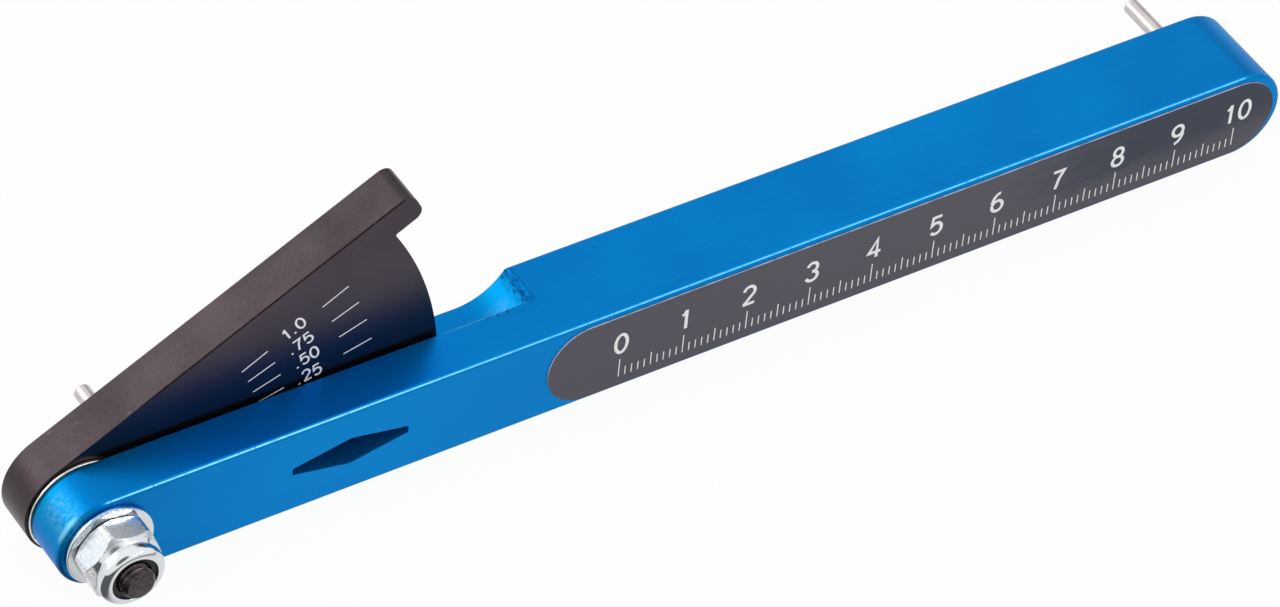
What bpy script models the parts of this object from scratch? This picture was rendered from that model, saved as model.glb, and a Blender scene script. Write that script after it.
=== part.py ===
"""Chain wear gauge: a square bar with a half-lapped end, and an arm that swings behind its front wall.

A pin stands out of the back at each end. The pins go between the rollers of a half-inch-pitch chain,
the arm is pressed down until they bear, and the window in the front wall shows the wear on the fan.

Frame: metres, +X along the bar from the pivot to the fixed pin, +Y from the front face to the back, +Z up.
The origin is the middle of the bar's underside. The arm is modelled raised by REST_OPENING.
"""

import math

import bmesh
import bpy
from mathutils import Vector

MM = 0.001

# Bar
BAR_HEIGHT = 14.3 * MM
BAR_DEPTH = 14.3 * MM
PIVOT_TO_FIXED_PIN = 177.06 * MM
BAR_EDGE_RADIUS = 0.6 * MM

# Half lap, ledge and ramp, cut in the back half of the bar
FRONT_WALL = 7.15 * MM
FAN_CLEARANCE = 0.9 * MM
LEDGE_DROP = 4.45 * MM
LEDGE_LENGTH = 5.4 * MM
LEDGE_OVERLAP = 3.0 * MM
RAMP_RADIUS = 9.0 * MM
RAMP_LIP_RADIUS = 1.1 * MM

# Reading window in the front wall
WINDOW_FROM_PIVOT = 35.6 * MM
WINDOW_LENGTH = 17.3 * MM
WINDOW_HEIGHT = 4.6 * MM
WINDOW_TIP_HEIGHT = 1.15 * MM
WINDOW_CORNER_RADIUS = 0.25 * MM

# Arm: a flat plate with a round pivot end, a straight top edge, a fan and a tab.
# The tab's corners are rounded by shares of its height.
ARM_THICKNESS = 6.35 * MM
ARM_END_RADIUS = 7.8 * MM
ARM_EDGE_RADIUS = 0.25 * MM
FAN_RADIUS = 53.0 * MM
FAN_ANGLE = math.radians(25.7)
FAN_CORNER_RADIUS = 0.8 * MM
TAB_LENGTH = 4.75 * MM
TAB_TOP_ROUNDING = 0.36
TAB_LOW_ROUNDING = 0.33
TAB_ROOT_RADIUS = 0.3 * MM
STOP_SLOPE = math.radians(-0.55)
REST_OPENING = math.radians(28.5)

# Pins
PIN_RADIUS = 1.19 * MM
FIXED_PIN_REACH = 11.9 * MM
MOVING_PIN_REACH = 12.6 * MM
PIN_TIP_CHAMFER = 0.3 * MM
FIXED_PIN_DEPTH = 8.0 * MM
MOVING_PIN_DEPTH = 4.5 * MM
MOVING_PIN_FROM_PIVOT = 10.64 * MM
MOVING_PIN_ANGLE = math.radians(-35.1)

# Pivot screw, nut and washers
SCREW_RADIUS = 2.45 * MM
SCREW_HEAD_RADIUS = 4.6 * MM
SCREW_HEAD_RIM = 0.3 * MM
SCREW_END_CHAMFER = 0.5 * MM
SCREW_PAST_NUT = 1.4 * MM
SOCKET_WIDTH = 3.0 * MM
SOCKET_DEPTH = 2.0 * MM
PIVOT_WASHER_RADIUS = 7.4 * MM
PIVOT_WASHER_THICKNESS = 0.5 * MM
NUT_WASHER_RADIUS = 6.25 * MM
NUT_WASHER_THICKNESS = 0.8 * MM
WASHER_EDGE_RADIUS = 0.12 * MM
NUT_WIDTH = 9.9 * MM
NUT_TURN = math.radians(-10)
NUT_HEX_HEIGHT = 4.4 * MM
NUT_CHAMFER_SLOPE = math.radians(42)
NUT_COLLAR_RADIUS = 4.65 * MM
NUT_COLLAR_HEIGHT = 2.2 * MM
NUT_NECK_DEPTH = 0.25 * MM
NUT_ROLLED_SHARE = 0.85
NUT_LIP_RADIUS = 3.3 * MM
NUT_LIP_THICKNESS = 0.35 * MM
INSERT_RADIUS = 3.85 * MM
INSERT_HEIGHT = 1.6 * MM

# Label
LABEL_LENGTH = 105.2 * MM
LABEL_MARGIN = 0.95 * MM
LABEL_SETBACK = 0.35 * MM
LABEL_DROP = 0.25 * MM
LABEL_THICKNESS = 0.15 * MM

# Clearances between pieces
SEAT_GAP = 0.05 * MM
RUNNING_GAP = 0.05 * MM
STOP_GAP = 0.05 * MM
CUT_PAST = 1.0 * MM

# Facets
TURN_STEPS = 48
END_STEPS = 32
CORNER_STEPS = 6
RAMP_STEPS = 18
COLLAR_STEPS = 4
BAR_EDGE_STEPS = 3
ARM_EDGE_STEPS = 2
WASHER_EDGE_STEPS = 2
MERGE = 1e-7
FLAT_ANGLE = math.radians(0.1)
SHARP_ANGLE = math.radians(35)
BEVEL_ANGLE = math.radians(60)

# Places that follow from the sizes
BAR_END_RADIUS = BAR_HEIGHT / 2
AXIS_HEIGHT = BAR_HEIGHT / 2
PIVOT_X = -PIVOT_TO_FIXED_PIN / 2
WINDOW_X = PIVOT_X + WINDOW_FROM_PIVOT
FIXED_PIN_X = PIVOT_TO_FIXED_PIN / 2
FRONT_Y = -BAR_DEPTH / 2
BACK_Y = BAR_DEPTH / 2
WALL_BACK_Y = FRONT_Y + FRONT_WALL
PIVOT_WASHER_FRONT_Y = WALL_BACK_Y + SEAT_GAP
PIVOT_WASHER_BACK_Y = PIVOT_WASHER_FRONT_Y + PIVOT_WASHER_THICKNESS
ARM_FRONT_Y = PIVOT_WASHER_BACK_Y + SEAT_GAP
ARM_BACK_Y = ARM_FRONT_Y + ARM_THICKNESS
NUT_WASHER_BACK_Y = FRONT_Y - SEAT_GAP
NUT_WASHER_FRONT_Y = NUT_WASHER_BACK_Y - NUT_WASHER_THICKNESS
NUT_BACK_Y = NUT_WASHER_FRONT_Y - SEAT_GAP
NUT_HEIGHT = NUT_HEX_HEIGHT + NUT_COLLAR_HEIGHT
LEDGE_Z = BAR_HEIGHT / 2 - LEDGE_DROP
LAP_RADIUS = FAN_RADIUS + FAN_CLEARANCE
REST_ANGLE = STOP_SLOPE + REST_OPENING
LABEL_END_RADIUS = BAR_END_RADIUS - LABEL_MARGIN

PIVOT = Vector((PIVOT_X, 0, AXIS_HEIGHT))
FIXED_PIN = Vector((FIXED_PIN_X, 0, AXIS_HEIGHT))


def clear_scene():
    """Remove every object and collection of an earlier run."""
    for old in list(bpy.data.objects):
        bpy.data.objects.remove(old, do_unlink=True)
    for old in list(bpy.data.collections):
        bpy.data.collections.remove(old)


def new_collection(name):
    """A collection in the open scene."""
    made = bpy.data.collections.new(name)
    bpy.context.scene.collection.children.link(made)
    return made


def material(name, colour, roughness, metallic):
    """A Principled material with one colour."""
    made = bpy.data.materials.new(name)
    made.use_nodes = True
    shader = made.node_tree.nodes["Principled BSDF"]
    shader.inputs["Base Color"].default_value = (*colour, 1)
    shader.inputs["Roughness"].default_value = roughness
    shader.inputs["Metallic"].default_value = metallic
    made.diffuse_color = (*colour, 1)
    return made


def polar(radius, angle):
    """The point of an outline at a distance and an angle from its origin."""
    return Vector((radius * math.cos(angle), radius * math.sin(angle)))


def swung(point, angle):
    """A point of an outline, turned counterclockwise about the outline's origin."""
    x, z = point
    return Vector((x * math.cos(angle) - z * math.sin(angle), x * math.sin(angle) + z * math.cos(angle)))


def arc(centre, radius, start, end, steps):
    """Points of an arc, both ends included."""
    return [Vector(centre) + polar(radius, start + (end - start) * i / steps) for i in range(steps + 1)]


def rounded(before, corner, after, radius, steps):
    """The points that replace the corner of an outline by an arc."""
    to_before = (before - corner).normalized()
    to_after = (after - corner).normalized()
    half = to_before.angle(to_after) / 2
    start = corner + to_before * (radius / math.tan(half))
    end = corner + to_after * (radius / math.tan(half))
    centre = corner + (to_before + to_after).normalized() * (radius / math.sin(half))
    first = math.atan2(*(start - centre).yx)
    sweep = (math.atan2(*(end - centre).yx) - first + math.pi) % (2 * math.pi) - math.pi
    return arc(centre, radius, first, first + sweep, steps)


def outline_of(corners, steps=CORNER_STEPS):
    """An outline from (point, corner radius) pairs, where a radius of 0 leaves the corner sharp."""
    points = []
    for i, (corner, radius) in enumerate(corners):
        before = corners[i - 1][0]
        after = corners[(i + 1) % len(corners)][0]
        points += rounded(before, corner, after, radius, steps) if radius else [corner]
    return points


def stadium(left_x, right_x, radius):
    """The outline of a bar with two round ends."""
    quarter = math.pi / 2
    right = arc((right_x, 0), radius, -quarter, quarter, END_STEPS)
    left = arc((left_x, 0), radius, quarter, 3 * quarter, END_STEPS)
    return right + left


def smooth(obj):
    """Shade the round faces smooth and leave the edges crisp."""
    obj.data.shade_smooth()
    obj.data.set_sharp_from_angle(angle=SHARP_ANGLE)


def add(obj, collection, finish=None):
    """Link an object, with its material as the only one."""
    collection.objects.link(obj)
    if finish:
        obj.data.materials.clear()
        obj.data.materials.append(finish)
    return obj


def plate(name, outline, front_y, back_y, collection, finish=None):
    """A flat plate in the XZ plane, between two depths, from a 2D curve."""
    curve = bpy.data.curves.new(name, "CURVE")
    curve.dimensions = "2D"
    curve.fill_mode = "BOTH"
    curve.extrude = (back_y - front_y) / 2
    spline = curve.splines.new("POLY")
    spline.points.add(len(outline) - 1)
    for point, (x, z) in zip(spline.points, outline):
        point.co = (x, z, 0, 1)
    spline.use_cyclic_u = True
    guide = add(bpy.data.objects.new(name + "_curve", curve), collection)
    bpy.context.view_layer.update()
    mesh = bpy.data.meshes.new_from_object(guide.evaluated_get(bpy.context.evaluated_depsgraph_get()))
    bpy.data.objects.remove(guide, do_unlink=True)
    flat = bmesh.new()
    flat.from_mesh(mesh)
    bmesh.ops.remove_doubles(flat, verts=flat.verts, dist=MERGE)
    bmesh.ops.dissolve_limit(flat, angle_limit=FLAT_ANGLE, verts=flat.verts, edges=flat.edges)
    bmesh.ops.recalc_face_normals(flat, faces=flat.faces)
    flat.to_mesh(mesh)
    flat.free()
    mesh.name = name
    made = add(bpy.data.objects.new(name, mesh), collection, finish)
    made.rotation_euler.x = math.pi / 2
    made.location.y = (front_y + back_y) / 2
    return made


def turned_piece(name, profile, collection, finish=None, closed=False):
    """A turned piece about the Y axis, from (radius, y) points that run from its back to its front."""
    mesh = bpy.data.meshes.new(name)
    count = len(profile)
    edges = [(i, i + 1) for i in range(count - 1)] + ([(count - 1, 0)] if closed else [])
    mesh.from_pydata([(radius, 0, y) for radius, y in profile], edges, [])
    made = add(bpy.data.objects.new(name, mesh), collection, finish)
    screw = made.modifiers.new("Turn", "SCREW")
    screw.steps = screw.render_steps = TURN_STEPS
    screw.use_merge_vertices = True
    screw.merge_threshold = MERGE
    screw.use_smooth_shade = True
    made.rotation_euler.x = -math.pi / 2
    return made


def ring_profile(inner, outer, front_y, back_y, edge):
    """The section of a washer whose outer edges are rounded."""
    corners = [
        (Vector((inner, back_y)), 0),
        (Vector((outer, back_y)), edge),
        (Vector((outer, front_y)), edge),
        (Vector((inner, front_y)), 0),
    ]
    return outline_of(corners, WASHER_EDGE_STEPS)


def bevel(obj, width, segments):
    """Round the edges between the plate's flat faces and its rim."""
    modifier = obj.modifiers.new("Edge", "BEVEL")
    modifier.width = width
    modifier.segments = segments
    modifier.limit_method = "ANGLE"
    modifier.angle_limit = BEVEL_ANGLE


def cut(obj, cutter, operation="DIFFERENCE"):
    """Cut an object with another, which is hidden from then on."""
    cutter.hide_render = True
    cutter.display_type = "WIRE"
    modifier = obj.modifiers.new(cutter.name, "BOOLEAN")
    modifier.operation = operation
    modifier.solver = "EXACT"
    modifier.object = cutter


def settle(obj):
    """Apply the modifiers, so that the crisp edges can be marked on the finished shape."""
    bpy.context.view_layer.update()
    mesh = bpy.data.meshes.new_from_object(obj.evaluated_get(bpy.context.evaluated_depsgraph_get()))
    obj.modifiers.clear()
    obj.data = mesh
    smooth(obj)


def drill(name, radius, front_y, back_y, collection):
    """A cutter for a round hole about the Y axis."""
    profile = [(0, back_y), (radius, back_y), (radius, front_y), (0, front_y)]
    return turned_piece(name, profile, collection)


def ledge_outline():
    """What is milled off above the ledge: a flat, then a round ramp with a soft lip."""
    top = BAR_HEIGHT / 2
    start = LAP_RADIUS + LEDGE_LENGTH
    ramp = Vector((start, LEDGE_Z + RAMP_RADIUS))
    lip_z = top - RAMP_LIP_RADIUS
    reach = RAMP_RADIUS + RAMP_LIP_RADIUS
    lip = Vector((start + math.sqrt(reach**2 - (ramp.y - lip_z) ** 2), lip_z))
    leave = math.atan2(*(lip - ramp).yx)
    quarter = math.pi / 2
    inside = LAP_RADIUS - LEDGE_OVERLAP
    return [
        Vector((inside, top + CUT_PAST)),
        Vector((inside, LEDGE_Z)),
        *arc(ramp, RAMP_RADIUS, -quarter, leave, RAMP_STEPS),
        *arc(lip, RAMP_LIP_RADIUS, leave + math.pi, quarter, CORNER_STEPS)[1:],
        Vector((lip.x, top + CUT_PAST)),
    ]


def window_outline():
    """A long six-sided diamond with blunt tips."""
    length = WINDOW_LENGTH / 2
    height = WINDOW_HEIGHT / 2
    tip = WINDOW_TIP_HEIGHT / 2
    corners = [(length, -tip), (length, tip), (0, height), (-length, tip), (-length, -tip), (0, -height)]
    return outline_of([(Vector(corner), WINDOW_CORNER_RADIUS) for corner in corners])


def arm_outline():
    """The arm's side view about its pivot, with its straight top edge along +X."""
    quarter = math.pi / 2
    tab_end = FAN_RADIUS + TAB_LENGTH
    stop_line = LEDGE_Z + STOP_GAP
    tab_root = swung((math.sqrt(FAN_RADIUS**2 - stop_line**2), stop_line), -STOP_SLOPE)
    tab_tip = swung((tab_end, stop_line), -STOP_SLOPE)
    tab_height = ARM_END_RADIUS - tab_tip.y
    low_angle = -FAN_ANGLE - math.asin(ARM_END_RADIUS / FAN_RADIUS)
    fan = arc((0, 0), FAN_RADIUS, math.atan2(*tab_root.yx), low_angle, END_STEPS)
    end = arc((0, 0), ARM_END_RADIUS, -FAN_ANGLE - quarter, -3 * quarter, 2 * END_STEPS)
    corners = [
        (Vector((tab_end, ARM_END_RADIUS)), TAB_TOP_ROUNDING * tab_height),
        (tab_tip, TAB_LOW_ROUNDING * tab_height),
        (fan[0], TAB_ROOT_RADIUS),
        *[(point, 0) for point in fan[1:-1]],
        (fan[-1], FAN_CORNER_RADIUS),
        *[(point, 0) for point in end],
    ]
    return outline_of(corners)


def make_body(parts, cutters, finish):
    """The bar: half-lapped for the arm, with a ledge for the arm's tab, a window and two bores."""
    outline = stadium(PIVOT_X, FIXED_PIN_X, BAR_END_RADIUS)
    body = plate("body", outline, FRONT_Y, BACK_Y, parts, finish)
    body.location.z = AXIS_HEIGHT
    bevel(body, BAR_EDGE_RADIUS, BAR_EDGE_STEPS)
    before = FRONT_Y - CUT_PAST
    behind = BACK_Y + CUT_PAST
    pin_floor = BACK_Y - FIXED_PIN_DEPTH - SEAT_GAP
    quarter = math.pi / 2
    lap = arc((0, 0), LAP_RADIUS, -quarter, quarter, 2 * END_STEPS)
    lap += [Vector((-LAP_RADIUS, LAP_RADIUS)), Vector((-LAP_RADIUS, -LAP_RADIUS))]
    made = [
        (PIVOT_X, plate("lap_cutter", lap, WALL_BACK_Y, behind, cutters)),
        (PIVOT_X, plate("ledge_cutter", ledge_outline(), WALL_BACK_Y, behind, cutters)),
        (WINDOW_X, plate("window_cutter", window_outline(), before, WALL_BACK_Y + CUT_PAST, cutters)),
        (PIVOT_X, drill("pivot_cutter", SCREW_RADIUS + SEAT_GAP, before, behind, cutters)),
        (FIXED_PIN_X, drill("fixed_pin_cutter", PIN_RADIUS + SEAT_GAP, pin_floor, behind, cutters)),
    ]
    for x, cutter in made:
        cutter.location.x, cutter.location.z = x, AXIS_HEIGHT
        cut(body, cutter)
    settle(body)
    return body


def make_arm(parts, cutters, finish, hinge):
    """The swinging arm, with the screw's countersink and the moving pin's bore in its back."""
    arm = plate("indicator_arm", arm_outline(), ARM_FRONT_Y, ARM_BACK_Y, parts, finish)
    bevel(arm, ARM_EDGE_RADIUS, ARM_EDGE_STEPS)
    bore = SCREW_RADIUS + RUNNING_GAP
    head = SCREW_HEAD_RADIUS + RUNNING_GAP
    rim_y = ARM_BACK_Y - SCREW_HEAD_RIM - RUNNING_GAP
    sink = [
        (0, ARM_BACK_Y + CUT_PAST),
        (head, ARM_BACK_Y + CUT_PAST),
        (head, rim_y),
        (bore, rim_y - (head - bore)),
        (bore, ARM_FRONT_Y - CUT_PAST),
        (0, ARM_FRONT_Y - CUT_PAST),
    ]
    countersink = turned_piece("countersink_cutter", sink, cutters)
    floor_y = ARM_BACK_Y - MOVING_PIN_DEPTH - SEAT_GAP
    pin_bore = drill("moving_pin_cutter", PIN_RADIUS + SEAT_GAP, floor_y, ARM_BACK_Y + CUT_PAST, cutters)
    place = polar(MOVING_PIN_FROM_PIVOT, MOVING_PIN_ANGLE)
    pin_bore.location.x, pin_bore.location.z = place
    for piece in (arm, countersink, pin_bore):
        piece.parent = hinge
    cut(arm, countersink)
    cut(arm, pin_bore)
    settle(arm)
    return arm


def make_pin(name, foot_y, reach, parts, finish):
    """A dowel pin from the foot of its bore to its reach behind the bar, with a chamfered tip."""
    tip_y = BACK_Y + reach
    profile = [
        (0, tip_y),
        (PIN_RADIUS - PIN_TIP_CHAMFER, tip_y),
        (PIN_RADIUS, tip_y - PIN_TIP_CHAMFER),
        (PIN_RADIUS, foot_y),
        (0, foot_y),
    ]
    pin = turned_piece(name, profile, parts, finish)
    settle(pin)
    return pin


def make_screw(parts, cutters, finish):
    """The pivot screw: a countersunk socket head flush in the arm's back, and a plain shank."""
    back = ARM_BACK_Y
    rim = back - SCREW_HEAD_RIM
    end = NUT_BACK_Y - NUT_HEIGHT - SCREW_PAST_NUT
    profile = [
        (0, back),
        (SCREW_HEAD_RADIUS, back),
        (SCREW_HEAD_RADIUS, rim),
        (SCREW_RADIUS, rim - (SCREW_HEAD_RADIUS - SCREW_RADIUS)),
        (SCREW_RADIUS, end + SCREW_END_CHAMFER),
        (SCREW_RADIUS - SCREW_END_CHAMFER, end),
        (0, end),
    ]
    screw = turned_piece("pivot_screw", profile, parts, finish)
    floor = back - SOCKET_DEPTH
    socket = plate("socket_cutter", hexagon(SOCKET_WIDTH, 0), floor, back + CUT_PAST, cutters)
    for piece in (screw, socket):
        piece.location += PIVOT
    cut(screw, socket)
    settle(screw)
    return screw


def hexagon(width, turn):
    """The corners of a hexagon of a given width across flats."""
    radius = width / 2 / math.cos(math.pi / 6)
    return [polar(radius, turn + i * math.pi / 3) for i in range(6)]


def nut_section():
    """The nut's turned section: chamfered hexagon, neck, rolled collar, and its insert's seat."""
    front = NUT_BACK_Y - NUT_HEIGHT
    hex_front = NUT_BACK_Y - NUT_HEX_HEIGHT
    flat = NUT_WIDTH / 2
    corner = flat / math.cos(math.pi / 6) + SEAT_GAP
    slope = math.tan(NUT_CHAMFER_SLOPE)
    neck = NUT_COLLAR_RADIUS - NUT_NECK_DEPTH
    shoulder = (corner - neck) * slope
    bore = SCREW_RADIUS + SEAT_GAP
    seat = INSERT_RADIUS + SEAT_GAP
    seat_front = front + NUT_LIP_THICKNESS
    seat_back = seat_front + INSERT_HEIGHT + 2 * SEAT_GAP
    roll = (NUT_COLLAR_RADIUS - NUT_LIP_RADIUS) * NUT_ROLLED_SHARE
    corners = [
        (Vector((bore, NUT_BACK_Y)), 0),
        (Vector((flat, NUT_BACK_Y)), 0),
        (Vector((corner, NUT_BACK_Y - (corner - flat) * slope)), 0),
        (Vector((corner, hex_front + shoulder)), 0),
        (Vector((neck, hex_front)), NUT_NECK_DEPTH),
        (Vector((neck, hex_front - NUT_NECK_DEPTH)), 0),
        (Vector((NUT_COLLAR_RADIUS, hex_front - 2 * NUT_NECK_DEPTH)), NUT_NECK_DEPTH),
        (Vector((NUT_COLLAR_RADIUS, front)), roll),
        (Vector((NUT_LIP_RADIUS, front)), 0),
        (Vector((NUT_LIP_RADIUS, seat_front)), 0),
        (Vector((seat, seat_front)), 0),
        (Vector((seat, seat_back)), 0),
        (Vector((bore, seat_back)), 0),
    ]
    return outline_of(corners, COLLAR_STEPS)


def make_nut(parts, cutters, finish):
    """The locking nut: a turned blank, kept where it lies inside a hexagonal prism."""
    nut = turned_piece("lock_nut", nut_section(), parts, finish, closed=True)
    front = NUT_BACK_Y - NUT_HEIGHT - CUT_PAST
    prism = plate("nut_prism", hexagon(NUT_WIDTH, NUT_TURN), front, NUT_BACK_Y + CUT_PAST, cutters)
    for piece in (nut, prism):
        piece.location += PIVOT
    cut(nut, prism, "INTERSECT")
    settle(nut)
    return nut


def make_insert(parts, finish):
    """The nylon ring that the nut's collar holds, tight round the screw."""
    bore = SCREW_RADIUS + SEAT_GAP
    front = NUT_BACK_Y - NUT_HEIGHT + NUT_LIP_THICKNESS + SEAT_GAP
    section = ring_profile(bore, INSERT_RADIUS, front, front + INSERT_HEIGHT, WASHER_EDGE_RADIUS)
    insert = turned_piece("nut_insert", section, parts, finish, closed=True)
    insert.location += PIVOT
    settle(insert)
    return insert


def make_washer(name, radius, front_y, back_y, parts, finish):
    """A flat washer round the pivot screw, between two depths."""
    section = ring_profile(SCREW_RADIUS + SEAT_GAP, radius, front_y, back_y, WASHER_EDGE_RADIUS)
    washer = turned_piece(name, section, parts, finish, closed=True)
    washer.location += PIVOT
    settle(washer)
    return washer


def make_label(parts, finish):
    """A thin label on the front face, which follows the bar's far end."""
    outline = stadium(-LABEL_LENGTH, 0, LABEL_END_RADIUS)
    back = FRONT_Y - SEAT_GAP
    label = plate("label", outline, back - LABEL_THICKNESS, back, parts, finish)
    label.location.x = FIXED_PIN_X - LABEL_SETBACK
    label.location.z = AXIS_HEIGHT - LABEL_DROP
    smooth(label)
    return label


def main():
    clear_scene()
    parts = new_collection("chain_wear_gauge")
    cutters = new_collection("cutters")
    cutters.hide_render = True

    blue = material("blue_anodised", (0.0, 0.2, 0.58), 0.35, 0.6)
    black = material("black_oxide_arm", (0.03, 0.025, 0.027), 0.5, 0.3)
    zinc = material("zinc_plate", (0.72, 0.74, 0.76), 0.22, 1.0)
    bright = material("bright_washer", (0.8, 0.79, 0.77), 0.2, 1.0)
    oxide = material("black_oxide_screw", (0.07, 0.06, 0.06), 0.35, 0.9)
    nylon = material("nylon_insert", (0.02, 0.02, 0.02), 0.5, 0.0)
    steel = material("steel_pin", (0.6, 0.57, 0.55), 0.3, 1.0)
    film = material("label_film", (0.07, 0.065, 0.07), 0.45, 0.0)

    hinge = bpy.data.objects.new("arm_pivot", None)
    hinge.empty_display_size = ARM_END_RADIUS
    hinge.location = PIVOT
    hinge.rotation_euler.y = -REST_ANGLE
    parts.objects.link(hinge)

    make_body(parts, cutters, blue)
    make_arm(parts, cutters, black, hinge)
    make_screw(parts, cutters, oxide)
    make_nut(parts, cutters, zinc)
    make_insert(parts, nylon)
    nut_washer_y = (NUT_WASHER_FRONT_Y, NUT_WASHER_BACK_Y)
    make_washer("nut_washer", NUT_WASHER_RADIUS, *nut_washer_y, parts, zinc)
    pivot_washer_y = (PIVOT_WASHER_FRONT_Y, PIVOT_WASHER_BACK_Y)
    make_washer("pivot_washer", PIVOT_WASHER_RADIUS, *pivot_washer_y, parts, bright)
    fixed_pin = make_pin("fixed_pin", BACK_Y - FIXED_PIN_DEPTH, FIXED_PIN_REACH, parts, steel)
    fixed_pin.location += FIXED_PIN
    moving_foot = ARM_BACK_Y - MOVING_PIN_DEPTH
    moving_pin = make_pin("moving_pin", moving_foot, MOVING_PIN_REACH, parts, steel)
    moving_pin.location.x, moving_pin.location.z = polar(MOVING_PIN_FROM_PIVOT, MOVING_PIN_ANGLE)
    moving_pin.parent = hinge
    make_label(parts, film)


main()
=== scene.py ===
"""Looks of the chain wear gauge: its finer meshes, finishes and printed marks, the camera and the studio."""

from __future__ import annotations

import logging
import math
from dataclasses import dataclass, field
from enum import Enum
from typing import Callable, Dict, List, Optional, Sequence, Tuple, Union

import bmesh
import bpy
from mathutils import Euler, Matrix, Vector


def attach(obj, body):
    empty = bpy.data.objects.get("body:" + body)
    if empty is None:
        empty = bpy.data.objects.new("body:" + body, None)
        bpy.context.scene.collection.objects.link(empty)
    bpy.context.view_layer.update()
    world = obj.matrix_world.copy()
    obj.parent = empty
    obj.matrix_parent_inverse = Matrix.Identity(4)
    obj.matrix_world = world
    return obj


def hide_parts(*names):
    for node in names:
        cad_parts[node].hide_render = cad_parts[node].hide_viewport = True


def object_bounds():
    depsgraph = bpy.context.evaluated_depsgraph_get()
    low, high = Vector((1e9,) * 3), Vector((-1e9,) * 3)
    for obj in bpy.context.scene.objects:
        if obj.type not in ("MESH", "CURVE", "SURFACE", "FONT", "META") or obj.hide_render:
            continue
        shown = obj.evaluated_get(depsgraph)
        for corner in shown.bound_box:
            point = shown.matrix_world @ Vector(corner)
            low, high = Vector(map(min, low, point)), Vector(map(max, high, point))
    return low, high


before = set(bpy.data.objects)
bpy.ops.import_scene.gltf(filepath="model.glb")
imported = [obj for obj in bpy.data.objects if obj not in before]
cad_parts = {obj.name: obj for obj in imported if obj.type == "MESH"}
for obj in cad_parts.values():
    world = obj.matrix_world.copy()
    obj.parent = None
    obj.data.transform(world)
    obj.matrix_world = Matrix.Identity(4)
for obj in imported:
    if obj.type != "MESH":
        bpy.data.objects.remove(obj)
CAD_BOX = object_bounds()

MM = 0.001
QUARTER = math.pi / 2
BEVEL_SAMPLES = 6
LOG = logging.getLogger("chain_wear_gauge")

Object = bpy.types.Object
Form = bmesh.types.BMesh
Colour = Tuple[float, float, float]
Point = Tuple[float, float]
Limits = Tuple[float, ...]
Spot = Sequence[float]
Value = Union["Socket", float]
Tint = Union["Socket", Colour]


class Body(Enum):
    """The two bodies that the joint connects."""

    BAR = "bar"
    ARM = "arm"


class Cut(Enum):
    """What a tool cuts off a piece."""

    AWAY = "DIFFERENCE"
    OUTSIDE = "INTERSECT"


class Slot(Enum):
    """The material slots that the finishes belong to."""

    BLUE = "blue_anodised"
    BLACK = "black_anodised"
    FILM = "label_film"
    PIN = "steel_pin"
    OXIDE = "black_oxide"
    BRIGHT = "bright_washer"
    ZINC = "zinc_plate"
    NYLON = "nylon"


@dataclass(frozen=True)
class Layout:
    """Places that several pieces share, in millimetres, and the arm's angle at rest in radians."""

    pivot_x: float = -88.53
    fixed_pin_x: float = 88.53
    axis_z: float = 7.15
    front_y: float = -7.15
    back_y: float = 7.15
    wall_back_y: float = 0.0
    arm_front_y: float = 0.6
    arm_back_y: float = 6.95
    nut_back_y: float = -8.05
    screw_radius: float = 2.45
    rest_angle: float = math.radians(27.95)

    @property
    def pivot(self) -> Vector:
        """The pivot's axis where it crosses the bar's middle plane."""
        return Vector((self.pivot_x, 0, self.axis_z))

    @property
    def axis(self) -> Point:
        """The pivot's axis as (x, z)."""
        return (self.pivot_x, self.axis_z)

    def swing(self, radius: float, angle: float) -> Vector:
        """A place on the arm as (x, z) in the bar's frame, at an angle from the arm's top edge."""
        turned = self.rest_angle + angle
        return Vector((self.pivot_x + radius * math.cos(turned), self.axis_z + radius * math.sin(turned)))


LAYOUT = Layout()


class Socket:
    """A value of a shader graph that takes part in Python arithmetic."""

    def __init__(self, graph: Graph, output: bpy.types.NodeSocket) -> None:
        """Keep the graph and the node output that the value comes from."""
        self.graph = graph
        self.output = output

    def _math(self, operation: str, first: Value, second: Value) -> Socket:
        """The result of one Math node."""
        return self.graph.make("ShaderNodeMath", {"operation": operation}, {0: first, 1: second})[0]

    def __add__(self, other: Value) -> Socket:
        """This value plus another."""
        return self._math("ADD", self, other)

    def __radd__(self, other: Value) -> Socket:
        """Another value plus this one."""
        return self._math("ADD", other, self)

    def __sub__(self, other: Value) -> Socket:
        """This value less another."""
        return self._math("SUBTRACT", self, other)

    def __rsub__(self, other: Value) -> Socket:
        """Another value less this one."""
        return self._math("SUBTRACT", other, self)

    def __mul__(self, other: Value) -> Socket:
        """This value times another."""
        return self._math("MULTIPLY", self, other)

    def __rmul__(self, other: Value) -> Socket:
        """Another value times this one."""
        return self._math("MULTIPLY", other, self)

    def __pow__(self, other: Value) -> Socket:
        """This value to a power."""
        return self._math("POWER", self, other)

    def __rpow__(self, other: Value) -> Socket:
        """Another value to the power of this one."""
        return self._math("POWER", other, self)

    def __or__(self, other: Value) -> Socket:
        """The greater of this value and another, which joins two masks."""
        return self._math("MAXIMUM", self, other)

    def __ror__(self, other: Value) -> Socket:
        """The greater of another value and this one."""
        return self._math("MAXIMUM", other, self)


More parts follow.
